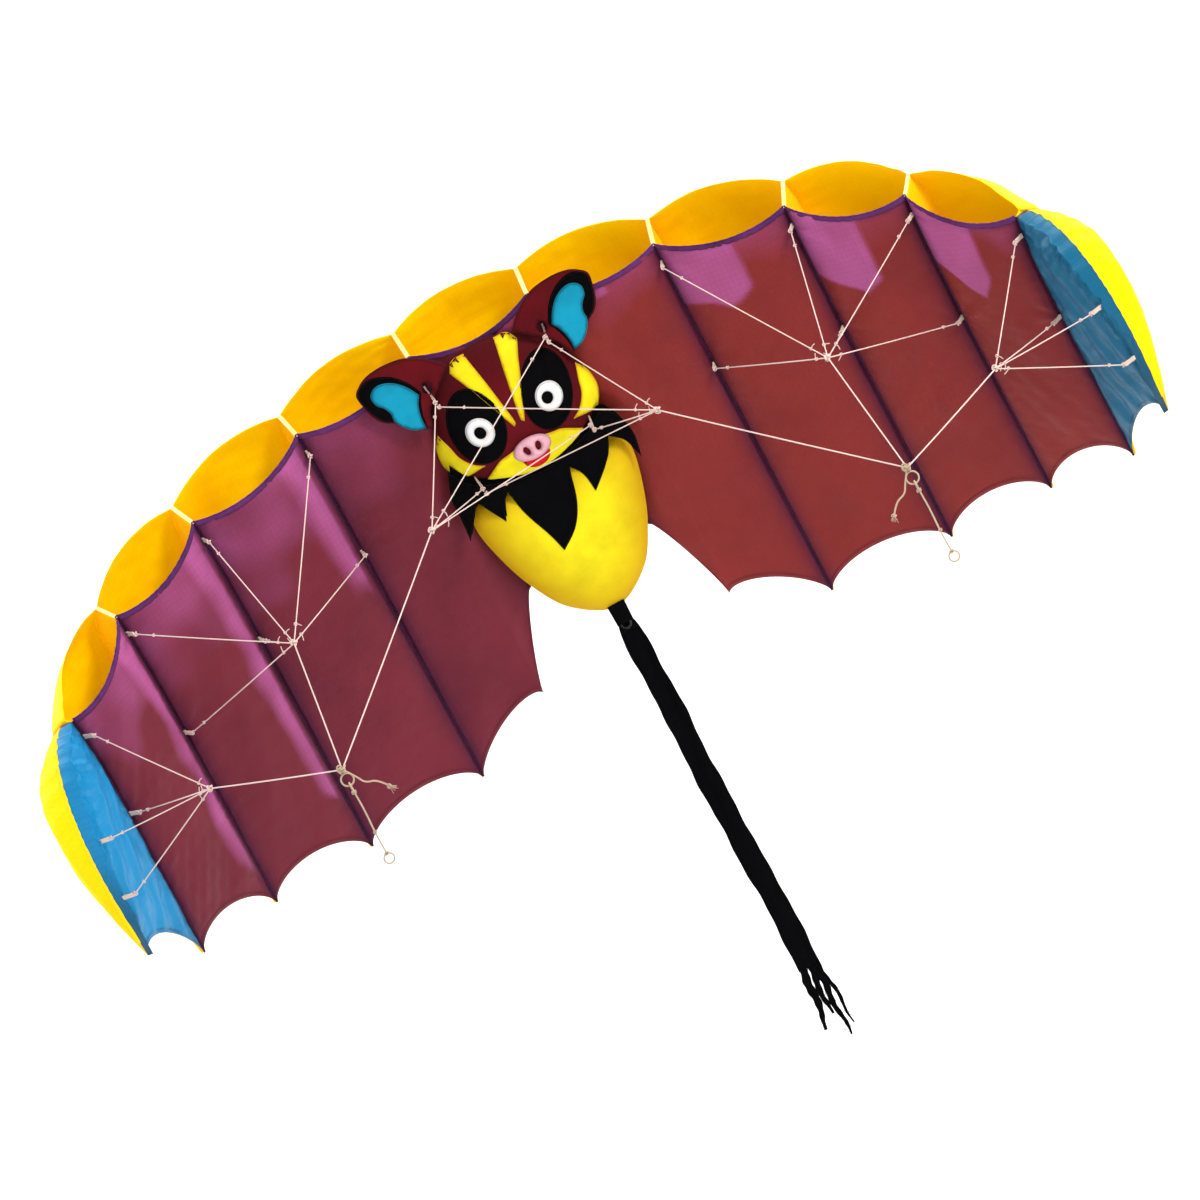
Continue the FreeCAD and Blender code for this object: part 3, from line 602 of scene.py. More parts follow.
def woven(name, base, deep, thread=900.0, rough=0.8, soft=0.5, fuzz=0.25, gloss=0.12, edge=None):
    """Matt woven or felted cloth: thread pattern, nap, faint soiling, and colour darkened towards the edge
    mark, which is painted shade where the padded head and belly turn away from the light, with a slight
    printed gradient on the belly, and darker rims on the patches, ears and tail.
    """
    n = Nodes(name)
    pos = n.position()
    patchy = n.noise(pos, 11.0, 5.0)
    colour = n.ramp(patchy, (0.25, deep), (0.55, base), (0.85, tone(base, 1.15)))
    threads = n.math("ADD", n.wave(pos, thread / 3, "X"), n.wave(pos, thread / 3, "Z"))
    colour = n.mix(n.math("MULTIPLY", threads, 0.06), colour, tone(deep, 0.6))
    # painted shade: darker towards the edge mark
    if edge is not None:
        colour = n.mix(n.math("POWER", n.mark("edge"), 2.2), colour, edge)
    n.link(colour, n.bsdf.inputs["Base Color"])
    nap = n.noise(pos, 260.0, 5.0, 0.7)
    n.link(n.math("ADD", n.math("MULTIPLY", nap, 0.2), rough - 0.1), n.bsdf.inputs["Roughness"])
    b = n.bump(n.noise(pos, 38.0, 4.0), 0.25, 0.003)
    b = n.bump(threads, 0.2, 0.0004, b)
    b = n.bump(nap, soft, 0.0006, b)
    n.link(b, n.bsdf.inputs["Normal"])
    n.bsdf.inputs["Sheen Weight"].default_value = fuzz
    n.bsdf.inputs["Sheen Roughness"].default_value = 0.5
    n.bsdf.inputs["Sheen Tint"].default_value = (*tone(base, 1.4), 1)
    n.bsdf.inputs["Specular IOR Level"].default_value = gloss
    return n.mat


def braided(name, base, deep):
    """Braided cord: crossing helical strands, darker in the hollows between them, with patchy dirt."""
    n = Nodes(name)
    uv = n.uv()
    turned = n.add("ShaderNodeMapping")
    n.link(uv, turned.inputs["Vector"])
    turned.inputs["Rotation"].default_value = (0, 0, 0.9)
    other = n.add("ShaderNodeMapping")
    n.link(uv, other.inputs["Vector"])
    other.inputs["Rotation"].default_value = (0, 0, -0.9)
    strands = n.math("MAXIMUM", n.wave(turned.outputs[0], 170.0, "X"), n.wave(other.outputs[0], 170.0, "X"))
    dirt = n.noise(n.position(), 30.0, 4.0)
    colour = n.mix(n.math("MULTIPLY", dirt, 0.5), base, deep)
    colour = n.mix(n.math("MULTIPLY", n.math("SUBTRACT", 1.0, strands), 0.5), colour, tone(deep, 0.6))
    n.link(colour, n.bsdf.inputs["Base Color"])
    n.link(n.math("ADD", n.math("MULTIPLY", dirt, 0.2), 0.55), n.bsdf.inputs["Roughness"])
    n.link(n.bump(strands, 0.6, 0.0004), n.bsdf.inputs["Normal"])
    n.bsdf.inputs["Sheen Weight"].default_value = 0.3
    return n.mat


# ------------------------------------------------------------------ user settings
def colour_prop(name, text, value):
    return bpy.props.FloatVectorProperty(name=name, description=text, subtype="COLOR", size=3,
                                         min=0, max=1, default=value)


def length_prop(name, text, value):
    return bpy.props.FloatProperty(name=name, description=text, default=value, min=0.0,
                                   unit="LENGTH", precision=5)


class KiteCloth(bpy.types.PropertyGroup):
    upper: colour_prop("Upper skin", "Yellow ripstop of the upper skin and noses", (1.0, 0.60, 0.0))
    lower: colour_prop("Lower skin", "Maroon ripstop of the lower skin", (0.205, 0.022, 0.015))
    # painted highlight: the violet laid on the lower cloth where the sun's sheen falls
    violet: colour_prop("Painted sheen colour", "Violet that the lower cloth turns to in the sun", (0.38, 0.085, 0.25))
    tip: colour_prop("Tip panel", "Blue ripstop of the closed tip cells", (0.0, 0.20, 0.45))
    binding: colour_prop("Binding", "Violet tape along the intake lips", (0.105, 0.022, 0.120))
    seam: colour_prop("Seam shade", "Dark violet of the drawn-in seams", (0.030, 0.004, 0.022))
    cloth_thick: bpy.props.FloatProperty(name="Cloth thickness",
                                         description="Thickness of the skins in millimetres",
                                         default=0.6, min=0.1, max=2)
    rows: bpy.props.IntProperty(name="Chord rows", description="Rows of mesh along the chord", default=104,
                                min=20)
    columns: bpy.props.IntProperty(name="Cell columns", description="Columns of mesh across a cell",
                                   default=40, min=8)
    pucker: bpy.props.FloatProperty(name="Seam pucker",
                                    description="Height of the seam puckers in millimetres",
                                    default=1.5, min=0, max=4)


class KiteStitch(bpy.types.PropertyGroup):
    spacing: length_prop("Stitch spacing", "Distance from stitch to stitch", 0.0048)
    length: length_prop("Stitch length", "Length of one stitch", 0.0034)
    radius: length_prop("Thread radius", "Radius of the sewing thread", 0.00034)


class KiteLines(bpy.types.PropertyGroup):
    line: length_prop("Line diameter", "Diameter of the bridle lines", 0.0022)
    leader: length_prop("Leader diameter", "Diameter of the tow cord and leaders", 0.0031)
    colour: colour_prop("Line colour", "Undyed bridle line", (0.84, 0.62, 0.55))
    tag: colour_prop("Tag colour", "Tan tow cord", (0.58, 0.42, 0.28))


class KiteFigure(bpy.types.PropertyGroup):
    face: colour_prop("Face", "Maroon face cloth", (0.115, 0.003, 0.007))
    yellow: colour_prop("Yellow", "Belly, cheeks and stripes", (0.86, 0.73, 0.010))
    black: colour_prop("Black", "Ruff, eye patches, ear edges and tail", (0.0018, 0.0018, 0.0024))
    inner_ear: colour_prop("Inner ear", "Blue inside of the ears", (0.006, 0.30, 0.47))
    snout: colour_prop("Snout", "Pink snout", (0.80, 0.42, 0.50))
    mouth: colour_prop("Mouth", "Red lower lip", (0.68, 0.010, 0.018))
    puff: bpy.props.FloatProperty(name="Filling pressure", description="Pressure that fills the padded parts",
                                  default=4.0, min=0, max=12)
    tail_width: length_prop("Tail width", "Width of the tail ribbon", 0.043)


class KiteStage(bpy.types.PropertyGroup):
    field: length_prop("Field width", "Width that the camera takes in", 2.16)
    roll: bpy.props.FloatProperty(name="Bank", description="How far the kite banks in the view",
                                  default=math.radians(28.13), subtype="ANGLE")
    key: bpy.props.FloatProperty(name="Key light", description="Power of the key light in watts",
                                 default=300.0)
    ambient: bpy.props.FloatProperty(name="Ambient", description="Strength of the even light all round",
                                     default=0.56)


def settings():
    return bpy.context.scene.bat_kite


class KiteSettings(bpy.types.PropertyGroup):
    cloth: bpy.props.PointerProperty(type=KiteCloth, name="Cloth", description="Skins and binding")
    stitch: bpy.props.PointerProperty(type=KiteStitch, name="Stitches", description="Sewing thread")
    lines: bpy.props.PointerProperty(type=KiteLines, name="Lines", description="Bridle and tow cords")
    figure: bpy.props.PointerProperty(type=KiteFigure, name="Figure", description="Bat figure and tail")
    stage: bpy.props.PointerProperty(type=KiteStage, name="Stage", description="Camera and lights")


MATERIALS = {}


def finish_for(name, make):
    if name not in MATERIALS:
        MATERIALS[name] = make()
    return MATERIALS[name]


def cloth_material(which):
    c = settings().cloth
    up, low, tip = tuple(c.upper), tuple(c.lower), tuple(c.tip)
    makers = {
        # the yellow skins glow a little: painted light that lightens the shaded insides of the cells
        "upper": lambda: ripstop("yellow ripstop", up, (up[0] * 0.94, up[1] * 0.84, 0.0), (1.0, 0.85, 0.4),
                                 rough=0.50, glow=0.24, seam=(up[0] * 0.85, up[1] * 0.62, 0.0)),
        # painted shade: on the left wing the maroon is darker and bluer, as in less light; the violet is the
        # painted sheen
        "lower": lambda: ripstop("maroon ripstop", low, tone(low, 0.86), (0.95, 0.55, 0.90),
                                 patch=tuple(c.violet), left_light_colour=(low[0] * 0.66, low[1] * 0.72, low[2] * 1.6),
                                 rough=0.42, seam=tuple(c.seam)),
        # painted light and shade: the right tip is a darker blue, as in shade, and the left tip the lit blue
        "tip": lambda: ripstop("blue ripstop", (tip[0], tip[1] * 0.44, tip[2] * 0.40),
                               (tip[0], tip[1] * 0.26, tip[2] * 0.24), (0.5, 0.85, 1.0),
                               rough=0.34, gloss=0.5,
                               left_light_colour=tip, seam=(0.0, 0.03, 0.07)),
        # the ribs glow a little too: painted light
        "rib": lambda: ripstop("rib ripstop", (0.95, 0.56, 0.004), (0.85, 0.44, 0.002), (0.9, 0.7, 0.4),
                               glow=0.22),
        "binding": lambda: woven("violet binding tape", tuple(c.binding), tone(tuple(c.binding), 0.5),
                                 thread=1500.0, rough=0.7, fuzz=0.3),
        # painted shade on a real seam: the lower seam tapes take the dark violet of the seam shade
        "seam": lambda: woven("seam tape", tuple(c.seam), tone(tuple(c.seam), 0.5), thread=1500.0,
                              rough=0.7, fuzz=0.1),
        "nose": lambda: woven("cream tape", (0.98, 0.80, 0.30), (0.80, 0.58, 0.14), thread=1700.0,
                              rough=0.75, fuzz=0.2),
        "tape": lambda: woven("pale tape", (0.80, 0.62, 0.52), (0.55, 0.40, 0.32), thread=1700.0,
                              rough=0.75, fuzz=0.3),
        "thread": lambda: woven("violet thread", (0.055, 0.014, 0.050), (0.030, 0.008, 0.028), thread=4000.0),
        "gold_thread": lambda: woven("yellow thread", (0.80, 0.52, 0.03), (0.55, 0.33, 0.02), thread=4000.0),
        "pale_thread": lambda: woven("pale thread", (0.80, 0.74, 0.66), (0.5, 0.45, 0.4), thread=4000.0),
        "dark_thread": lambda: woven("black thread", (0.012, 0.012, 0.014), (0.006, 0.006, 0.007),
                                     thread=4000.0),
    }
    return finish_for(which, makers[which])


def line_material(which):
    s = settings().lines
    colour = tuple(s.colour if which == "line" else s.tag)
    return finish_for(which, lambda: braided(which + " cord", colour, tone(colour, 0.55)))


def figure_material(which):
    s = settings().figure
    base = tuple(getattr(s, which))
    deep = tone(base, 0.68)
    # painted shade: each figure cloth darkens towards its edge mark, the yellow to an orange-brown where the
    # belly turns away from the light
    edge = tone((base[0], base[1] * 0.62, base[2] * 0.4), 0.62) if which == "yellow" else tone(base, 0.45)
    return finish_for("figure_" + which, lambda: woven(
        which.replace("_", " ") + " cloth", base, deep, rough=0.82,
        fuzz=0.02 if which == "black" else 0.12, gloss=0.03 if which == "black" else 0.10, edge=edge))


def white_material():
    return finish_for("eye_white", lambda: woven("white felt", (0.86, 0.86, 0.85), (0.66, 0.66, 0.66),
                                                 rough=0.85, soft=0.8, edge=(0.6, 0.6, 0.6)))


# ------------------------------------------------------------------ stitches
def stitch_tree():
    """Geometry nodes: a run of sewing stitches laid along every curve given."""
    if "stitch run" in bpy.data.node_groups:
        return bpy.data.node_groups["stitch run"]
    tree = bpy.data.node_groups.new("stitch run", "GeometryNodeTree")
    face = tree.interface
    face.new_socket("Curves", in_out="INPUT", socket_type="NodeSocketGeometry")
    for label, value in (("Spacing", 0.0048), ("Length", 0.0034), ("Thread radius", 0.00034),
                         ("Unevenness", 0.12)):
        s = face.new_socket(label, in_out="INPUT", socket_type="NodeSocketFloat")
        s.default_value = value
    s = face.new_socket("Seed", in_out="INPUT", socket_type="NodeSocketInt")
    s.default_value = 7
    face.new_socket("Thread", in_out="INPUT", socket_type="NodeSocketMaterial")
    face.new_socket("Stitches", in_out="OUTPUT", socket_type="NodeSocketGeometry")
    new = tree.nodes.new
    src, dst = new("NodeGroupInput"), new("NodeGroupOutput")
    pts = new("GeometryNodeCurveToPoints")
    pts.mode = "LENGTH"
    rod = new("GeometryNodeMeshCylinder")
    rod.inputs["Vertices"].default_value = 6
    rnd = new("FunctionNodeRandomValue")
    rnd.data_type = "FLOAT"
    one_less, one_more = new("ShaderNodeMath"), new("ShaderNodeMath")
    one_less.operation, one_more.operation = "SUBTRACT", "ADD"
    one_less.inputs[0].default_value = one_more.inputs[0].default_value = 1.0
    inst = new("GeometryNodeInstanceOnPoints")
    real = new("GeometryNodeRealizeInstances")
    mat = new("GeometryNodeSetMaterial")
    link = tree.links.new
    link(src.outputs["Curves"], pts.inputs["Curve"])
    link(src.outputs["Spacing"], pts.inputs["Length"])
    link(src.outputs["Thread radius"], rod.inputs["Radius"])
    link(src.outputs["Length"], rod.inputs["Depth"])
    link(src.outputs["Unevenness"], one_less.inputs[1])
    link(src.outputs["Unevenness"], one_more.inputs[1])
    floats = [i for i in rnd.inputs if i.type == "VALUE"]
    link(one_less.outputs[0], floats[0])
    link(one_more.outputs[0], floats[1])
    link(src.outputs["Seed"], rnd.inputs["Seed"])
    link(pts.outputs["Points"], inst.inputs["Points"])
    link(pts.outputs["Rotation"], inst.inputs["Rotation"])
    link(rod.outputs["Mesh"], inst.inputs["Instance"])
    link([o for o in rnd.outputs if o.type == "VALUE"][0], inst.inputs["Scale"])
    link(inst.outputs[0], real.inputs[0])
    link(real.outputs[0], mat.inputs["Geometry"])
    link(src.outputs["Thread"], mat.inputs["Material"])
    link(mat.outputs[0], dst.inputs["Stitches"])
    return tree


def sew(name, body, runs, material, spacing=1.0, length=1.0, radius=1.0, seed=7):
    """Stitches along runs of points, made a plain mesh that rides with a body."""
    s = settings().stitch
    curve = bpy.data.curves.new(name, "CURVE")
    curve.dimensions = "3D"
    for run in runs:
        run = np.asarray(run, float)
        spline = curve.splines.new("POLY")
        spline.points.add(len(run) - 1)
        spline.points.foreach_set("co", np.c_[run, np.ones(len(run))].astype(np.float32).ravel())
    source = bpy.data.objects.new(name + "_path", curve)
    bpy.context.scene.collection.objects.link(source)
    mod = source.modifiers.new("stitches", "NODES")
    mod.node_group = tree = stitch_tree()
    values = {"Spacing": s.spacing * spacing, "Length": s.length * length,
              "Thread radius": s.radius * radius, "Unevenness": 0.12, "Seed": seed, "Thread": material}
    for item in tree.interface.items_tree:
        if item.in_out == "INPUT" and item.name in values:
            mod[item.identifier] = values[item.name]
    bpy.context.view_layer.update()
    depsgraph = bpy.context.evaluated_depsgraph_get()
    mesh = bpy.data.meshes.new_from_object(source.evaluated_get(depsgraph))
    bpy.data.objects.remove(source, do_unlink=True)
    mesh.name = name
    mesh.materials.clear()
    mesh.materials.append(material)
    mesh.polygons.foreach_set("use_smooth", np.ones(len(mesh.polygons), bool))
    obj = bpy.data.objects.new(name, mesh)
    bpy.context.scene.collection.objects.link(obj)
    return ride(obj, body)


# ------------------------------------------------------------------ the wing
def tab_places():
    """Every bridle tab of one side: name, root, outward fall, along direction, and the height that sets its
    tie.
    """
    made = []
    for k in range(5):
        r = rib_cut(k)
        for row in ("front", "mid"):
            back = {"front": 35, "mid": 255}[row]
            tall = 24
            if k == 0:
                back, tall = (62, 84) if row == "front" else (243, 112)
            if k == 4 and row == "mid":
                back = 207
            back += r["front"]
            f = (back - r["front"]) / (r["rear"] - r["front"])
            height = float(rib_heights(k, f, False)[1]) - 1
            p = lambda b, h, k=k: rib_point(k, b, h)
            made.append(((k, row), p(back, height), p(back, height - 1) - p(back, height),
                         p(back + 1, height) - p(back, height), tall))
    for row, w in (("first", 0.84), ("second", 0.96)):
        cut = {a: float(b) for a, b in cell_cut(5, np.array(w)).items()}
        back = cut["front"] + 14
        f = 14 / (cut["rear"] - cut["front"])
        height = float(skin_height(cut, np.array(f), False)[1]) - 1
        at = lambda b, h: place(cut["x"] + cut["nx"] * h, b, cut["d"] + cut["nd"] * h)
        made.append(((5, row), at(back, height), at(back, height - 1) - at(back, height),
                     at(back + 1, height) - at(back, height), 24))
    return made


def skin_grid(k, upper, side):
    """Grid of cloth points for one skin panel with its folds, and the marks its cloth reads."""
    c = settings().cloth
    rows, cols = c.rows, c.columns
    f = np.linspace(0, 1, rows) ** 1.12
    w = np.linspace(0, 1, cols) if k < 5 else 1 - 0.9995 * (1 - np.linspace(0, 1, cols)) ** 1.25
    if k == 1:
        w = np.sort(np.append(w[:-1], SPIKE_SHARE))
        w = np.append(w, 1.0)[:cols + 1]
    sign = 1 if upper else -1
    calm = 1.0
    if k == 5:
        # the blue cloth comes round the nose to a seam on the upper side
        if upper:
            f = TIP_SEAM + (1 - TIP_SEAM) * f
            calm = np.clip((f - TIP_SEAM) / 0.03, 0, 1)[:, None]
        else:
            round_nose = np.linspace(1, 0, 13)[:-1]
            f = np.concatenate([TIP_SEAM * round_nose ** 2, f[:-12] / f[-13]])
            sign = np.concatenate([2 * round_nose - 1, np.full(rows - 12, -1.0)])[:, None]
            calm = np.clip(np.arange(rows) / 10, 0, 1)[:, None]
    w_grid, f_grid = np.meshgrid(w, f)
    cut = cell_cut(k, w_grid)
    back, height = skin_height(cut, f_grid, upper)
    if k == 5 and not upper:
        over = skin_height(cut, f_grid, True)
        wrapped = np.arange(rows)[:, None] < 12
        back, height = np.where(wrapped, over[0], back), np.where(wrapped, over[1], height)
    height = height + sign * 0.7
    wide = 0.245
    to_seam = np.minimum(w_grid, 1 - w_grid) * wide if k else (0.5 - np.abs(w_grid - 0.5)) * wide
    seed = 31 * k + (5 if upper else 2) + (1 if side < 0 else 0)
    run = back * MM
    free = np.clip(to_seam / 0.012, 0, 1) * np.clip((1 - f_grid) / 0.03, 0, 1)
    # puckers square to the seams, dying out into the cell
    wobble = ripple(w_grid * wide, run, seed, 0.11) * 0.7
    pucker = (np.sin(TAU * run / 0.027 + 3.0 * wobble + seed)
              * (0.55 + 0.45 * ripple(0 * run, run, seed + 9, 0.12)))
    fold = c.pucker * pucker * np.exp(-to_seam / 0.030) * free
    fold = fold + 1.5 * ripple(w_grid * wide * 1.5, run, seed + 1, 0.17) * free
    fold = fold + 0.5 * ripple(w_grid * wide, run, seed + 2, 0.045) * free
    if k == 5 and not upper:
        at_seam = np.clip(1 - (back - cut["front"]) / 90, 0, 1) * np.clip((w_grid - 0.05) / 0.2, 0, 1)
        fold = fold + 4.2 * np.sin(TAU * (run * 1.0 + w_grid * 0.16) / 0.034 + 2 * wobble) * at_seam * free
        fold = fold + 3.0 * np.sin(TAU * (w_grid * 0.15 - run * 0.35) / 0.05 + wobble) * free
    if not upper:
        # fans of small folds pulled by each tab on the ribs
        for near, rib in ((0.0, k - 1), (1.0, k)) if 0 < k < 5 else ((1.0, 0),) if k == 0 else ((0.0, 4),):
            r = rib_cut(rib)
            for b in (35 if rib else 62, 255 if rib not in (0, 4) else (243 if rib == 0 else 207)):
                du = np.abs(w_grid - near) * wide
                dv = run - (r["front"] + b) * MM
                far = np.hypot(du, dv)
                angle = np.arctan2(du, dv)
                fold = (fold + 2.4 * np.cos(7 * angle + seed) * np.exp(-far / 0.055)
                        * np.clip(far / 0.02, 0, 1) * free)
    height = height + sign * fold * calm
    mid = place(cut["x"] + cut["nx"] * height, back, cut["d"] + cut["nd"] * height)
    mid[..., 0] *= side
    uv = np.stack([w_grid * wide, run], -1)
    crest = ripple(w_grid * wide, run, seed + 4, 0.16)
    if upper or k in (0, 5):
        # painted highlight: a faint violet sheen near the nose, shown only on cloth that takes a sheen colour
        painted_sheen = np.clip(1 - f_grid / 0.16, 0, 1) * 0.35 * (0.4 + 0.6 * crest)
    elif side > 0:
        # painted highlight: small sharp-edged sheen patches below the lip, against the inner seam
        reach = (0.0, 0.06, 0.20, 0.27, 0.30)[k] * (1 - 0.9 * np.abs(w_grid - 0.16 - 0.9 * f_grid))
        painted_sheen = (0.92 * np.clip((reach - f_grid + 0.012 * crest) / 0.012, 0, 1)
                * np.clip((0.58 - w_grid) / 0.05, 0, 1))
        painted_sheen = np.maximum(painted_sheen, 0.30 * np.clip(1 - f_grid / 0.10 + 0.3 * crest, 0, 1))
    else:
        # painted highlight: long bright sheen down the inner side of each cell, where the key light catches
        # its flank
        wide_at = 0.30 - 0.10 * f_grid + (0.45 if k > 1 else 0.2) * np.clip(0.22 - f_grid, 0, 1)
        flank = (np.clip((w_grid - 0.045) / 0.02, 0, 1)
                 * np.clip((wide_at - w_grid + 0.03 * crest) / 0.16, 0, 1))
        end = (0.0, 0.16, 0.46, 0.86, 0.88)[k]
        painted_sheen = flank * np.clip((end - f_grid + 0.04 * crest) / 0.05, 0, 1)
        painted_sheen = np.maximum(painted_sheen, (0.25 if k == 1 else 0.55) * np.clip(1 - f_grid / 0.26 + 0.25 * crest, 0, 1))
    marks = {"sheen": np.clip(painted_sheen, 0, 1),
             # painted light: 1 on the right wing, 0 on the left, a gradient across the centre cell; the cloth
             # takes each wing's painted light and shade from it
             "warm": np.full(w_grid.shape, 1.0 if side > 0 else 0.0) if k else w_grid,
             "seam_shade": np.clip(np.exp(-(to_seam / 0.015) ** 1.3) * (0.3 if upper else 0.95)
                                   + (0.0 if upper or k in (0, 5) else 0.16)
                                   * np.clip(w_grid * 1.6 - 0.6, 0, 1), 0, 1),
             "hem": ((1 - f_grid) * (cut["rear"] - cut["front"]) < 11).astype(float)}
    return mid, uv, marks, cut


class KITE_OT_wing_skins(bpy.types.Operator):
    """Cut and fill the upper and lower cloth of every cell, with puckers along the seams"""
    bl_idname = "kite.wing_skins"
    bl_label = "Wing skins"

    def execute(self, context):
        thick = settings().cloth.cloth_thick
        for k, cell in enumerate(CELLS):
            for side, hand in ((1, "_right"), (-1, "_left")):
                if k == 0 and side < 0:
                    continue
                label = cell + (hand if k else "")
                for skin, upper in (("upper", True), ("lower", False)):
                    mid, uv, marks, _ = skin_grid(k, upper, side)
                    which = "upper" if upper else ("tip" if k == 5 else "lower")
                    piece = cloth_shell(skin + "_cloth_" + label, mid, thick, uv, marks,
                                        cloth_material(which))
                    node = skin + "_skin_" + label
                    ride(piece, "wing", node, slot={"upper": "upper_ripstop", "lower": "lower_ripstop",
                                                    "tip": "tip_ripstop"}[which])
                    area = flat_area(mid)
                    wide = float(np.linalg.norm(np.diff(mid, axis=1), axis=-1).sum(1).max())
                    chord = float(np.linalg.norm(np.diff(mid, axis=0), axis=-1).sum(0).max())
                    if k == 5:
                        # the end panel tapers to a point: its width is its furthest reach from the rib
                        wide = float(np.linalg.norm(mid.reshape(-1, 1, 3) - mid[:, 0][None],
                                                    axis=-1).min(1).max())
        return {"FINISHED"}


class KITE_OT_ribs(bpy.types.Operator):
    """Cut the ribs, with round vents that let air from cell to cell"""
    bl_idname = "kite.ribs"
    bl_label = "Ribs"

    def execute(self, context):
        for k, name in enumerate(RIBS):
            f = np.linspace(0, 1, 60) ** 1.2
            ub, uh = rib_heights(k, f, True)
            lb, lh = rib_heights(k, f, False)
            outline = np.concatenate([np.c_[ub, uh], np.c_[lb, lh][::-1][1:]])
            r = rib_cut(k)
            holes = []
            for share, swell in ((0.14, 1.0), (0.30, 1.25), (0.48, 1.0)):
                radius = min(14 * swell, 0.30 * r["thick"])
                holes.append(oval_points(r["front"] + (r["rear"] - r["front"]) * share,
                                         0.46 * r["thick"] * (1.15 - share * 0.45), radius, radius, count=28))
            pts, tris = fill_shape(outline, 14, holes)
            for side, hand in ((1, "_right"), (-1, "_left")):
                ripples = 0.5 * ripple(pts[:, 0], pts[:, 1], 60 + k, 60)
                top = rib_point(k, pts[:, 0], pts[:, 1], side, 0.3 + ripples)
                low = rib_point(k, pts[:, 0], pts[:, 1], side, -0.3 + ripples)
                n = len(pts)
                marks = {mark: np.zeros(n) for mark in ("sheen", "seam_shade", "hem", "warm")}
                piece = plate_from("rib_cloth_" + name + hand, top, low, tris, cloth_material("rib"),
                                   pts * MM, marks)
                ride(piece, "wing", "rib_" + name + hand, slot="rib_ripstop")
        return {"FINISHED"}


def band(name, centre, wide_dir, out_dir, wide, thick, material, waves=0.0, seed=0):
    """A flat tape along a line of points: its width and outward directions given per point."""
    centre, wide_dir, out_dir = (np.asarray(a, float) for a in (centre, wide_dir, out_dir))
    cols = 7
    s = np.linspace(-0.5, 0.5, cols)
    run = np.concatenate([[0], np.cumsum(np.linalg.norm(np.diff(centre, axis=0), axis=1))])
    crown = (1 - (2 * s) ** 4) * thick * 0.4 * MM
    mid = (centre[:, None] + wide_dir[:, None] * (s * wide * MM)[None, :, None]
           + out_dir[:, None] * crown[None, :, None])
    if waves:
        ruck = (np.sin(TAU * run / 0.017 + 2 * ripple(run, run * 0, seed, 0.05))[:, None]
                * np.abs(s)[None, :] * 2)
        mid = mid + out_dir[:, None] * (ruck * waves * MM)[..., None]
    uv = np.stack(np.broadcast_arrays((s * wide * MM)[None, :], run[:, None]), -1)
    zero = np.zeros(mid.shape[:2])
    return cloth_shell(name, mid, thick, uv, {"edge": zero + np.abs(s)[None, :]}, material)


def unit(a):
    return a / np.maximum(np.linalg.norm(a, axis=-1, keepdims=True), 1e-12)


class KITE_OT_intake_trim(bpy.types.Operator):
    """Fold the violet binding over each intake lip and sew pale tape down every rib's nose"""
    bl_idname = "kite.intake_trim"
    bl_label = "Intake trim"

    def execute(self, context):
        runs, pale_runs = [], []
        first = True
        for k in range(5):
            for side, hand in ((1, "_right"), (-1, "_left")):
                if k == 0 and side < 0:
                    continue
                w = np.linspace(0.0, 1.0, 60)
                lip = skin_point(k, w, np.zeros(60), False, -0.3, side)
                behind = skin_point(k, w, np.full(60, 0.02), False, -0.3, side)
                back_dir = unit(behind - lip)
                out_dir = unit(skin_point(k, w, np.zeros(60), False, 3, side)
                               - skin_point(k, w, np.zeros(60), False, 0, side))
                label = CELLS[k] + (hand if k else "")
                piece = band("binding_" + label, lip + back_dir * 0.0005 + out_dir * 0.0009, back_dir,
                             out_dir,
                             11, 1.4, cloth_material("binding"), waves=0.7, seed=k)
                ride(piece, "wing", *(["intake_trim"] if first else []), slot="binding_tape")
                first = False
                for o in (-0.0032, 0.0040):
                    runs.append(lip + back_dir * (0.0005 + o) + out_dir * 0.0022)
        for k in range(4):
            for side, hand in ((1, "_right"), (-1, "_left")):
                nose_b, nose_h = (float(v[0]) for v in rib_heights(k, [0.0], True))
                r = rib_cut(k)
                q = np.linspace(-0.04, 1.0, 22)[:, None]
                a, b = rib_point(k, r["front"], -1.5, side), rib_point(k, nose_b, nose_h + 0.5, side)
                line = a + (b - a) * q
                span = unit(rib_point(k, r["front"], 0, side, 1) - rib_point(k, r["front"], 0, side))
                ahead = np.cross(b - a, span)
                ahead = unit(ahead if ahead @ np.array([0, -1, 0.3]) > 0 else -ahead)
                piece = band("nose_tape_%s%s" % (RIBS[k], hand), line + ahead * 0.0012,
                             np.tile(span, (22, 1)), np.tile(ahead, (22, 1)), 8, 1.0,
                             cloth_material("nose"), waves=0.25, seed=40 + k)
                ride(piece, "wing", slot="binding_tape")
                for o in (-0.0028, 0.0028):
                    pale_runs.append(line + ahead * 0.0021 + span * o)
        sew("binding_stitches", "wing", runs, cloth_material("thread"), seed=3)
        sew("nose_tape_stitches", "wing", pale_runs, cloth_material("pale_thread"), 0.8, 0.8, seed=5)
        return {"FINISHED"}


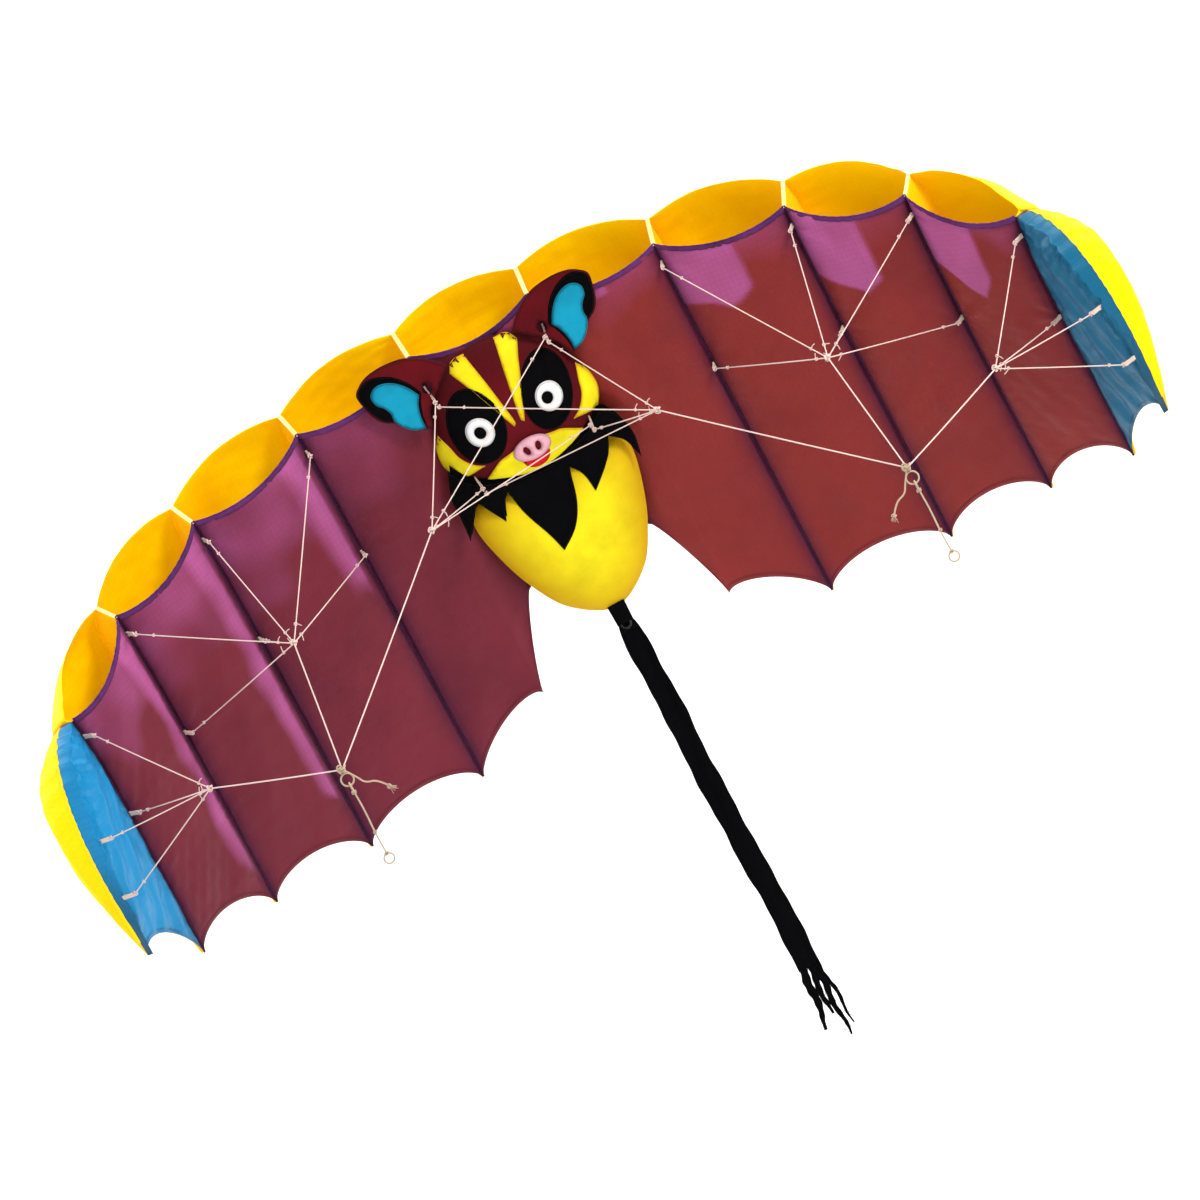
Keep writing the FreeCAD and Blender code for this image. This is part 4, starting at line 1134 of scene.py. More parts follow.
class KITE_OT_seams(bpy.types.Operator):
    """Roll a felled seam along every rib and round the tips, and stitch seams and hems"""
    bl_idname = "kite.seams"
    bl_label = "Seams and hems"

    def execute(self, context):
        violet, gold = [], []
        for side, hand in ((1, "_right"), (-1, "_left")):
            for k, name in enumerate(RIBS):
                for upper in (False, True):
                    f = np.linspace(0.0, 1.0, 90)
                    back, height = rib_heights(k, f, upper)
                    sign = 1 if upper else -1
                    line = rib_point(k, back, height + sign * 0.8, side)
                    span = unit(rib_point(k, 0, 0, side, 1) - rib_point(k, 0, 0, side))
                    out = unit(rib_point(k, 0, sign, side) - rib_point(k, 0, 0, side))
                    which = "upper" if upper else "lower"
                    # the lower seam bands are coloured in the painted seam shade
                    piece = band("%s_seam_%s%s" % (which, name, hand), line, np.tile(span, (90, 1)),
                                 np.tile(out, (90, 1)), 7.5 if upper else 5.0, 1.1,
                                 cloth_material("upper" if upper else "seam"), waves=0.35, seed=k)
                    ride(piece, "wing", slot="upper_ripstop" if upper else "binding_tape")
                    for o in (-0.0016, 0.0016):
                        (gold if upper else violet).append(line + out * 0.0012 + span * o)
            w = 1 - 0.97 * (1 - np.linspace(0, 0.995, 110)) ** 1.25
            seam = skin_point(5, w, np.full(110, TIP_SEAM), True, 0.0, side)
            ahead = unit(seam - skin_point(5, w, np.full(110, TIP_SEAM + 0.012), True, 0.0, side))
            out = unit(skin_point(5, w, np.full(110, TIP_SEAM), True, 3, side) - seam)
            piece = band("tip_seam" + hand, seam + out * 0.0005, ahead, out, 6, 1.3, cloth_material("upper"),
                         waves=0.6, seed=77)
            ride(piece, "wing", slot="upper_ripstop")
            gold.append(seam + out * 0.0019 + ahead * 0.002)
            gold.append(seam + out * 0.0019 - ahead * 0.002)
            for k in range(1, 6):
                w = np.linspace(0.02, 0.98 if k < 5 else 0.96, 60)
                cut = cell_cut(k, w)
                f = 1 - 9 / (cut["rear"] - cut["front"])
                violet.append(skin_point(k, w, f, False, 0.9, side))
                gold.append(skin_point(k, w, f, True, 0.9, side))
        w = np.linspace(0.03, 0.97, 50)
        gold.append(skin_point(0, w, np.full(50, 0.98), True, 0.9))
        sew("lower_seam_stitches", "wing", violet, cloth_material("thread"), seed=11)
        sew("upper_seam_stitches", "wing", gold, cloth_material("gold_thread"), seed=13)
        return {"FINISHED"}


# ------------------------------------------------------------------ bridle
KNOTS = {"inner": (225, 142, 420), "middle": (531, 182, 480), "tip": (776, 290, 620), "tow": (545, 229, 950)}


def mirrored(p, side):
    p = np.array(p, float)
    p[..., 0] *= side
    return p


def tie_points():
    return {key: root + fall * (tall - 1) for key, root, fall, _, tall in tab_places()}


class KITE_OT_bridle_tabs(bpy.types.Operator):
    """Fold a loop of pale tape at each bridle point and bar-tack it to its seam"""
    bl_idname = "kite.bridle_tabs"
    bl_label = "Bridle tabs"

    def execute(self, context):
        material = cloth_material("tape")
        for side, hand in ((1, "_right"), (-1, "_left")):
            runs, first = [], True
            for key, root, fall, along, tall in tab_places():
                root, fall, along = (mirrored(v, side) for v in (root, fall, along))
                fall, along = unit(fall), unit(along)
                span = unit(np.cross(fall, along))
                t = np.linspace(0, 1, 26)
                turn = np.clip((t - 0.42) / 0.16, 0, 1) * math.pi
                reach = np.where(t < 0.42, t / 0.42 * (tall - 3),
                                 np.where(t > 0.58, (1 - t) / 0.42 * (tall - 3),
                                 tall - 3 + 1.7 * np.sin(turn)))
                aside = (np.where(t < 0.42, -1, np.where(t > 0.58, 1, -np.cos(turn)))
                         * (0.65 + 1.1 * np.clip(reach / tall, 0, 1) ** 3))
                line = root - fall * 0.0012 + fall * (reach * MM)[:, None] + span * (aside * MM)[:, None]
                tangent = unit(np.gradient(line, axis=0))
                out = unit(np.cross(tangent, np.tile(along, (26, 1))))
                piece = band("tab_%d_%s%s" % (key[0], key[1], hand), line, np.tile(along, (26, 1)), out,
                             7.5, 0.8,
                             material)
                ride(piece, "wing", *(["bridle_tabs" + hand] if first else []), slot="tab_tape")
                first = False
                for h in (3.0, 5.5):
                    for s in (-1, 1):
                        runs.append([root + fall * h * MM + span * s * 0.0015 + along * q
                                     for q in (-0.004, 0, 0.004)])
            sew("tab_stitches" + hand, "wing", runs, cloth_material("pale_thread"), 0.45, 0.4, seed=21)
        return {"FINISHED"}


def cord_route(points):
    """The line of a cord: the NURBS spline that has its route's points as control points, read back"""
    curve = bpy.data.curves.new("cord_route", "CURVE")
    curve.dimensions = "3D"
    curve.resolution_u = 16
    spline = curve.splines.new("NURBS")
    spline.points.add(len(points) - 1)
    for control, point in zip(spline.points, points):
        control.co = (*(float(v) for v in point), 1.0)
    spline.order_u = 3
    spline.use_endpoint_u = True
    source = bpy.data.objects.new("cord_route", curve)
    bpy.context.scene.collection.objects.link(source)
    depsgraph = bpy.context.evaluated_depsgraph_get()
    mesh = bpy.data.meshes.new_from_object(source.evaluated_get(depsgraph))
    path = np.array([v.co[:] for v in mesh.vertices])
    bpy.data.meshes.remove(mesh)
    bpy.data.objects.remove(source)
    bpy.data.curves.remove(curve)
    return path if np.linalg.norm(path[0] - np.asarray(points[0])) < 1e-4 else path[::-1]


def hung(a, b, sag):
    """A loaded leg's route: its two ends and the middle, which its own weight lowers a little"""
    a, b = np.asarray(a, float), np.asarray(b, float)
    return cord_route([a, (a + b) / 2 - np.array([0, 0, 2 * sag]), b])


def cord_piece(name, path, diameter, material, slot):
    path = np.asarray(path)
    piece = tube(name, path, diameter / 2, material, sides=9)
    ride(piece, "wing", slot=slot)
    length = float(np.linalg.norm(np.diff(path, axis=0), axis=1).sum())
    return piece, length


class KITE_OT_bridle_lines(bpy.types.Operator):
    """Run the taut bridle legs from their tabs to the cascade knots, and the risers to the tow knot"""
    bl_idname = "kite.bridle_lines"
    bl_label = "Bridle lines"

    def execute(self, context):
        s = settings().lines
        material = line_material("line")
        ties = tie_points()
        beside = np.array([0, 0, 10.2 * MM])
        for side, hand in ((1, "_right"), (-1, "_left")):
            knots = {k: mirrored(place(*v), side) for k, v in KNOTS.items()}
            legs = {"inner": [(("own", r), mirrored(ties[(0, r)], side)) for r in ("front", "mid")]
                    + [(("far", r), mirrored(ties[(0, r)], -side) - beside * side) for r in ("front", "mid")],
                    "middle": [((k, r), mirrored(ties[(k, r)], side)) for k in (1, 2, 3)
                               for r in ("front", "mid")],
                    "tip": [((k, r), mirrored(ties[(k, r)], side))
                            for k, r in ((4, "front"), (4, "mid"), (5, "first"), (5, "second"))]}
            for cascade, ends in legs.items():
                small, big = [], []
                for key, end in ends:
                    knot = knots[cascade]
                    path = hung(end, knot, 0.0008)
                    cord_piece("leg_%s_%s_%s%s" % (cascade, key[0], key[1], hand), path, s.line, material,
                               "bridle_line")
                    run = unit(knot - end)
                    gap = float(np.linalg.norm(knot - end))
                    small.append((tube_arrays(knot_path(end + run * 0.002, run, 0.0040), s.line * 0.55, 6,
                                              True)))
                    for q in (0.12 if gap > 0.25 else 0.2, 0.90):
                        small.append(tube_arrays(knot_path(end + (knot - end) * q, run, 0.0028),
                                                 s.line * 0.42, 6, True))
                    stub = end + (knot - end) * 0.90
                    off = unit(np.cross(run, [0.3, 1, 0.2]))
                    small.append(tube_arrays(np.array([stub, stub + off * 0.006 + run * 0.002,
                                                       stub + off * 0.011 + run * 0.006]), s.line * 0.38, 6))
                    big.append(unit(end - knot))
                for i, axis in enumerate(big[:3]):
                    small.append(tube_arrays(knot_path(knots[cascade] + axis * 0.002, axis,
                                                       0.0058 - 0.0006 * i),
                                             s.line * 0.6, 7, True))
                if cascade == "inner":
                    small.append(tube_arrays(knot_path(knots[cascade], knots["tow"] - knots[cascade], 0.0062),
                                             s.line * 0.6, 7, True))
                piece = join_parts("knots_" + cascade + hand, small, material)
                ride(piece, "wing", cascade + "_cascade" + hand, slot="bridle_line")
            for cascade in ("inner", "middle", "tip"):
                path = hung(knots[cascade], knots["tow"], 0.001)
                cord_piece("riser_%s%s" % (cascade, hand), path, s.line * 1.15, material,
                           "bridle_line")
        return {"FINISHED"}


class KITE_OT_tow_points(bpy.types.Operator):
    """Tie the tow knots with their loops and loose tags, and hang the leaders"""
    bl_idname = "kite.tow_points"
    bl_label = "Tow points"

    def execute(self, context):
        s = settings().lines
        tan = line_material("tag")
        for side, hand in ((1, "_right"), (-1, "_left")):
            knot = mirrored(place(*KNOTS["tow"]), side)
            parts = []
            for i, size in enumerate((0.0080, 0.0068, 0.0055)):
                axis = np.array([0.35 * (i - 1), -0.5 + 0.4 * i, -1.0])
                parts.append(tube_arrays(knot_path(knot + np.array([0, 0, 0.002 - 0.002 * i]), axis, size),
                                         s.leader * 0.5, 8, True))
            centre = knot + np.array([0, 0, -0.019])
            t = np.arange(48) * TAU / 48
            ring = centre + np.stack([np.sin(t) * 0.011, 0 * t, np.cos(t) * 0.011], -1)
            parts.append(tube_arrays(ring, s.leader / 2, 9, True))
            piece = join_parts("tow_loop" + hand, parts, tan)
            ride(piece, "wing", "tow_harness" + hand, slot="bridle_line")
            end = knot + np.array([-0.058 * side, 0, -0.062])
            path = cord_route([knot, knot + np.array([-0.016 * side, 0, -0.022]),
                               knot + np.array([-0.024 * side, 0, -0.038]),
                               knot + np.array([-0.045 * side, 0, -0.043]), end])
            piece, _ = cord_piece("tag_end" + hand, path, s.leader, tan, "leader_line")
            fray = [tube_arrays(knot_path(end, end - knot, 0.0038), s.leader * 0.45, 7, True)]
            rng = np.random.default_rng(50 + side)
            for _ in range(9):
                d = unit(unit(path[-1] - path[-3]) + rng.normal(0, 0.35, 3)) * rng.uniform(0.008, 0.017)
                q = np.linspace(0, 1, 5)[:, None]
                fray.append(tube_arrays(path[-1] + d * q + rng.normal(0, 0.0012, 3) * q ** 2, 0.0005, 5))
            ride(join_parts("tag_fray" + hand, fray, tan), "wing", slot="leader_line")

            body = "leader_%s_body" % hand[1:]
            loop_low = centre + np.array([0, 0, -0.011])
            eye = loop_low + np.array([0, 0, -0.009 + 0.0036 + 0.001])
            t = np.arange(40) * TAU / 40
            parts = [tube_arrays(eye + np.stack([0 * t, np.sin(t) * 0.009, np.cos(t) * 0.009], -1),
                                 s.leader / 2, 9, True)]
            top = eye + np.array([0, 0, -0.009])
            low = top + np.array([0, 0, -0.118])
            ring = low + np.array([0, 0, -0.009])
            parts.append(tube_arrays(ring + np.stack([np.sin(t) * 0.009, 0 * t, np.cos(t) * 0.009], -1),
                                     s.leader / 2, 9, True))
            for at, size in ((top, 0.0040), (low, 0.0040), (low + (top - low) * 0.35, 0.0030)):
                parts.append(tube_arrays(knot_path(at, (0, 0, 1), size), s.leader * 0.40, 7, True))
            ride(join_parts("leader_loops" + hand, parts, tan), body, "leader" + hand, slot="leader_line")
            path = cord_route([top, top + np.array([0.0015, 0, -0.036]),
                               top + np.array([-0.0015, 0, -0.080]), low])
            piece = tube("leader_cord" + hand, path, s.leader / 2, tan, 9)
            ride(piece, body, slot="leader_line")
        return {"FINISHED"}


# ------------------------------------------------------------------ bat figure
def figure_points(x, drop, lift):
    back = (np.asarray(drop, float) - ST * (FIGURE_STAND + FIGURE_LIFT)) / CT
    return place(x, back, FIGURE_STAND + np.asarray(lift, float))


TOWARD = np.array([0, -CT, -ST])
HW, BW = HEAD_HALF, BELLY_HALF
SPAN = BELLY_LOW - BELLY_TOP
HEAD_SIDE = [(0, 50), (0.30 * HW, 58), (0.58 * HW, 82), (0.80 * HW, 112), (0.90 * HW, 150),
             (HW, 200), (0.97 * HW, 240), (0.70 * HW, 276), (0.35 * HW, 298), (0, 306)]
BELLY_SIDE = [(0, BELLY_TOP), (0.55 * BW, BELLY_TOP), (0.90 * BW, BELLY_TOP + 0.03 * SPAN),
              (BW, BELLY_TOP + 0.14 * SPAN), (0.93 * BW, BELLY_TOP + 0.36 * SPAN),
              (0.76 * BW, BELLY_TOP + 0.62 * SPAN), (0.48 * BW, BELLY_TOP + 0.86 * SPAN), (0, BELLY_LOW)]


def whole(half):
    return list(half) + [(-x, d) for x, d in reversed(half) if x > 0.01]


def pad_mesh(name, half, middle, thick, material, rings=26, count=144, power=2.5):
    """A crowned closed pad over an outline: domed front, flat back, rolled edge."""
    edge = closed_curve(whole(half), count)
    count = len(edge)
    middle = np.array(middle, float)
    shares = np.linspace(0, 1, rings)
    verts, mark, faces = [], [], []
    for s in shares[1:]:
        xy = middle + (edge - middle) * s
        dome = (1 - s ** power) ** 0.62
        verts.append(figure_points(xy[:, 0], xy[:, 1], 3.0 + (thick - 3.0) * dome))
        mark.append(np.full(count, s))
    front = np.concatenate(verts)
    top = figure_points(middle[0], middle[1], thick)[None]
    verts, mark = [top, front], [np.zeros(1)] + mark
    for s in (1.0, 0.985, 0.6, 0.3):
        xy = middle + (edge - middle) * s
        verts.append(figure_points(xy[:, 0], xy[:, 1], np.full(count, 1.2 if s == 1.0 else 0.4)))
        mark.append(np.full(count, 1.0))
    verts.append(figure_points(middle[0], middle[1], 0.4)[None])
    mark.append(np.ones(1))
    verts = np.concatenate(verts)
    rows = (rings - 1) + 4
    ids = 1 + np.arange(rows * count).reshape(rows, count)
    nxt = np.roll(ids, -1, 1)
    faces += [(0, ids[0, j], nxt[0, j]) for j in range(count)]
    for i in range(rows - 1):
        faces += [(ids[i, j], ids[i + 1, j], nxt[i + 1, j], nxt[i, j]) for j in range(count)]
    last = len(verts) - 1
    faces += [(last, nxt[-1, j], ids[-1, j]) for j in range(count)]
    # the edge mark runs from 0 at the crown to 1 at the rim and back; the cloth paints shade from it
    obj = new_mesh(name, verts, faces, material, marks={"edge": np.concatenate(mark)})
    return obj, edge


def inflate(obj, pressure, cap, frames=16):
    """Let air pressure fill a closed pad with Blender's cloth, then keep each point within cap."""
    mesh = obj.data
    n = len(mesh.vertices)
    rest = np.zeros(n * 3)
    mesh.vertices.foreach_get("co", rest)
    rest = rest.reshape(-1, 3)
    flat = (rest - np.array(SHIFT)) @ TOWARD / MM - FIGURE_STAND
    group = obj.vertex_groups.new(name="sewn")
    group.add([int(i) for i in np.nonzero(flat < 3.2)[0]], 1.0, "REPLACE")
    mod = obj.modifiers.new("fill", "CLOTH")
    cloth = mod.settings
    cloth.use_pressure = True
    cloth.uniform_pressure_force = pressure
    cloth.vertex_group_mass = "sewn"
    cloth.tension_stiffness = cloth.compression_stiffness = 12
    cloth.bending_stiffness = 0.4
    cloth.effector_weights.gravity = 0
    mod.collision_settings.use_collision = False
    mod.point_cache.frame_start, mod.point_cache.frame_end = 1, frames
    scene = bpy.context.scene
    for f in range(1, frames + 1):
        scene.frame_set(f)
    depsgraph = bpy.context.evaluated_depsgraph_get()
    moved = np.zeros(n * 3)
    obj.evaluated_get(depsgraph).data.vertices.foreach_get("co", moved)
    moved = moved.reshape(-1, 3)
    step = moved - rest
    size = np.linalg.norm(step, axis=1, keepdims=True)
    step = step * np.minimum(1, cap * MM / np.maximum(size, 1e-9))
    obj.modifiers.remove(mod)
    obj.vertex_groups.remove(group)
    mesh.vertices.foreach_set("co", (rest + step).ravel())
    mesh.update()
    scene.frame_set(1)


class Surface:
    """The front of the pads, for laying patches on."""

    def __init__(self, *objs):
        self.trees = []
        for obj in objs:
            self.trees.append(BVHTree.FromPolygons([v.co for v in obj.data.vertices],
                                                   [list(p.vertices) for p in obj.data.polygons]))

    def lay(self, x, drop, lift, floor=0.0):
        x, drop = np.atleast_1d(x), np.atleast_1d(drop)
        start = figure_points(x, drop, np.full(len(x), 160.0))
        out = []
        for p in start:
            best = None
            for tree in self.trees:
                hit = tree.ray_cast(Vector(p), Vector(-TOWARD), 0.4)
                if hit[0] is not None and (best is None or hit[3] < best):
                    best = hit[3]
            height = 160.0 - best / MM if best is not None else floor
            out.append(max(height, floor))
        height = np.array(out) + lift
        return figure_points(x, drop, height)


def patch(name, surface, outline, lift, thick, material, step=6.0, floor=0.0):
    """A cloth patch laid on the pads: follows them, with a raw turned edge."""
    pts, tris = fill_shape(outline, step)
    edge = np.sqrt(((pts[:, None] - np.asarray(outline)[None]) ** 2).sum(-1)).min(1)
    base = surface.lay(pts[:, 0], pts[:, 1], lift, floor)
    top = base + TOWARD * (thick * MM) * np.clip(0.45 + edge / 3.0, 0, 1)[:, None]
    marks = {"edge": np.exp(-edge / 6.0)}
    return plate_from(name, top, base, tris, material, pts * MM, marks)


def edge_run(surface, outline, inset, lift, floor=0.0):
    """A stitch line just inside an outline."""
    p = np.asarray(outline, float)
    t = unit(np.roll(p, -1, 0) - np.roll(p, 1, 0))
    n = np.stack([-t[:, 1], t[:, 0]], -1)
    area = 0.5 * np.sum(p[:, 0] * np.roll(p[:, 1], -1) - np.roll(p[:, 0], -1) * p[:, 1])
    q = p + n * inset * (1 if area > 0 else -1)
    run = surface.lay(q[:, 0], q[:, 1], lift, floor)
    return np.concatenate([run, run[:1]])


PADS = {}


class KITE_OT_figure_pads(bpy.types.Operator):
    """Fill the padded head and belly and draw in their sewn edges"""
    bl_idname = "kite.figure_pads"
    bl_label = "Head and belly"

    def execute(self, context):
        s = settings().figure
        head, head_edge = pad_mesh("head_pad", HEAD_SIDE, (0, 185), HEAD_THICK - 5, figure_material("face"))
        belly, belly_edge = pad_mesh("belly_pad", BELLY_SIDE, (0, BELLY_TOP + 0.42 * SPAN), BELLY_THICK - 5,
                                     figure_material("yellow"), power=2.2)
        for pad, cap in ((head, 5.0), (belly, 6.0)):
            inflate(pad, s.puff, cap)
        for pad, node, slot, fill in ((head, "head", "face_cloth", 0.7),
                                      (belly, "belly", "figure_yellow", 0.8)):
            ride(pad, "wing", node, slot=slot)
        PADS["head"], PADS["belly"] = head, belly
        PADS["surface"] = Surface(head, belly)
        for edge, pad, thread in ((head_edge, "head", "dark_thread"), (belly_edge, "belly", "gold_thread")):
            runs = [edge_run(PADS["surface"], edge, inset, 0.4)
                    for inset in ((1.2,) if pad == "head" else (2.0, 4.5))]
            sew(pad + "_edge_stitches", "wing", runs, cloth_material(thread), seed=31)
        return {"FINISHED"}


def on_side(points, side=1):
    """An outline, in millimetres across and down the figure, put on one side of it."""
    return np.array([(x * side, y) for x, y in points], float)


EAR = [(66.6, 57.6), (82.8, 36), (104.4, 19.8), (129.6, 7.2), (154.8, 2.7), (180, 1.8), (205.2, 5.4),
       (223.2, 14.4), (235.8, 27), (234, 48.6), (226.8, 73.8), (214.2, 91.8), (196.2, 102.6),
       (183.6, 118.8), (167.4, 131.4), (149.4, 138.6), (138.6, 138.6)]
EAR_BLACK = [(129.6, 73.8), (142.2, 48.6), (162, 27), (185.4, 14.4), (207, 10.8), (223.2, 17.1),
             (233.1, 28.8), (231.3, 48.6), (223.2, 72), (210.6, 90), (193.5, 99.9), (180, 117),
             (165.6, 128.7), (149.4, 135.9), (145.8, 111.6), (138.6, 90)]
EAR_BLUE = [(135, 75.6), (147.6, 54), (165.6, 36), (187.2, 27), (203.4, 28.8), (214.2, 39.6), (212.4, 55.8),
            (201.6, 68.4), (196.2, 81), (196.2, 97.2), (185.4, 115.2), (171, 127.8), (151.2, 134.1),
            (150.3, 111.6), (144, 90)]


class KITE_OT_ears(bpy.types.Operator):
    """Pad the ears in maroon, black and blue layers, with a slot for the bridle tab"""
    bl_idname = "kite.ears"
    bl_label = "Ears"

    def execute(self, context):
        for side, hand in ((1, "_right"), (-1, "_left")):
            body = "ear_%s_body" % hand[1:]
            base = [(0.89 * HW + 2.5, 139), (0.81 * HW + 2.5, 108.8), (0.585 * HW + 2.5, 77.5),
                    (0.41 * HW + 2.5, 53.5)]
            tip = EAR[1:-1]
            outline = np.array(base + tip, float)
            outline[:, 0] *= side
            outline = closed_curve(outline, 160, corner=(0, 3))
            slot_x, slot_d = 117.0 * side, 73.0
            slot = oval_points(slot_x, slot_d, 9.5, 11.5, count=24)

            def leaf(name, shape, low, high, material, crown, hole=True):
                pts, tris = fill_shape(shape, 6.0, [slot] if hole else [])
                edge = np.sqrt(((pts[:, None] - np.asarray(shape)[None]) ** 2).sum(-1)).min(1)
                if hole:
                    edge = np.minimum(edge, np.sqrt(((pts[:, None] - slot[None]) ** 2).sum(-1)).min(1) + 2)
                puff = (crown * (1 - np.exp(-edge / 9.0))
                        + 0.35 * ripple(pts[:, 0], pts[:, 1], 90 + side, 25.0))
                cup = 0.0009 * ((np.abs(pts[:, 0]) - 160) ** 2) * 0.25
                top = figure_points(pts[:, 0], pts[:, 1], EAR_LIFT + high + puff + cup)
                bottom = figure_points(pts[:, 0], pts[:, 1], EAR_LIFT + low + cup)
                marks = {"edge": np.exp(-edge / 6.0)}
                return ride(plate_from(name, top, bottom, tris, material, pts * MM, marks), body)

            ear = leaf("ear_leaf" + hand, outline, 0.2, 1.8, figure_material("face"), 3.0)
            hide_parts("ear" + hand)
            black = closed_curve(on_side(EAR_BLACK, side), 150, corner=(0, 13))
            blue = closed_curve(on_side(EAR_BLUE, side), 130, corner=(0, 12))
            leaf("ear_black" + hand, black, 4.6, 5.2, figure_material("black"), 0.6, False)
            leaf("ear_blue" + hand, blue, 5.9, 6.4, figure_material("inner_ear"), 0.7, False)
            runs = []
            for shape, inset, lift in ((blue, 2.0, 7.1), (black, 2.0, 6.0), (outline, 2.5, 3.2)):
                p = np.asarray(shape)
                t = unit(np.roll(p, -1, 0) - np.roll(p, 1, 0))
                nrm = np.stack([-t[:, 1], t[:, 0]], -1)
                area = np.sum(p[:, 0] * np.roll(p[:, 1], -1) - np.roll(p[:, 0], -1) * p[:, 1])
                q = p + nrm * inset * (1 if area > 0 else -1)
                cup = 0.0009 * ((np.abs(q[:, 0]) - 160) ** 2) * 0.25
                runs.append(figure_points(q[:, 0], q[:, 1], EAR_LIFT + lift + cup))
            sew("ear_stitches" + hand, body, runs, cloth_material("dark_thread"), 0.8, 0.85, 0.9, seed=41)
        return {"FINISHED"}


RUFF = [(151.2, 252), (167.4, 280.8), (174.6, 316.8), (167.4, 360), (154.8, 320.4), (131.4, 298.8),
        (111.6, 333), (64.8, 370.8), (59.4, 338.4), (43.2, 315), (25.2, 372.6), (0, 410.4), (-36, 437.4),
        (-46.8, 399.6), (-68.4, 345.6), (-77.4, 302.4), (-90, 316.8), (-104.4, 347.4), (-122.4, 316.8),
        (-135, 291.6), (-162, 327.6), (-178.2, 349.2), (-174.6, 306), (-172.8, 266.4), (-154.8, 219.6),
        (-136.8, 250.2), (-108, 270), (-50.4, 288), (0, 297), (50.4, 288), (108, 270), (136.8, 250.2)]
RUFF_TIPS = (3, 5, 7, 9, 12, 15, 17, 19, 21)


class KITE_OT_ruff(bpy.types.Operator):
    """Lay the jagged black ruff under the chin, in two layers of torn cloth"""
    bl_idname = "kite.ruff"
    bl_label = "Ruff"

    def execute(self, context):
        outline = closed_curve(on_side(RUFF), 300, corner=RUFF_TIPS + (0, 24))
        surface = PADS["surface"]
        piece = patch("ruff_cloth", surface, outline, 0.8, 1.1, figure_material("black"), 7.0, floor=30.0)
        ride(piece, "wing", "ruff", slot="figure_black")
        under = outline * np.array([0.97, 1.0]) + np.array([2.5, -7.0])
        ride(patch("ruff_under", surface, under, 0.1, 0.5, figure_material("black"), 9.0, floor=27.0),
             "wing", slot="figure_black")
        sew("ruff_stitches", "wing", [edge_run(surface, outline, 2.2, 2.1, 30.0)],
            cloth_material("dark_thread"),
            0.8, 0.85, seed=43)
        return {"FINISHED"}


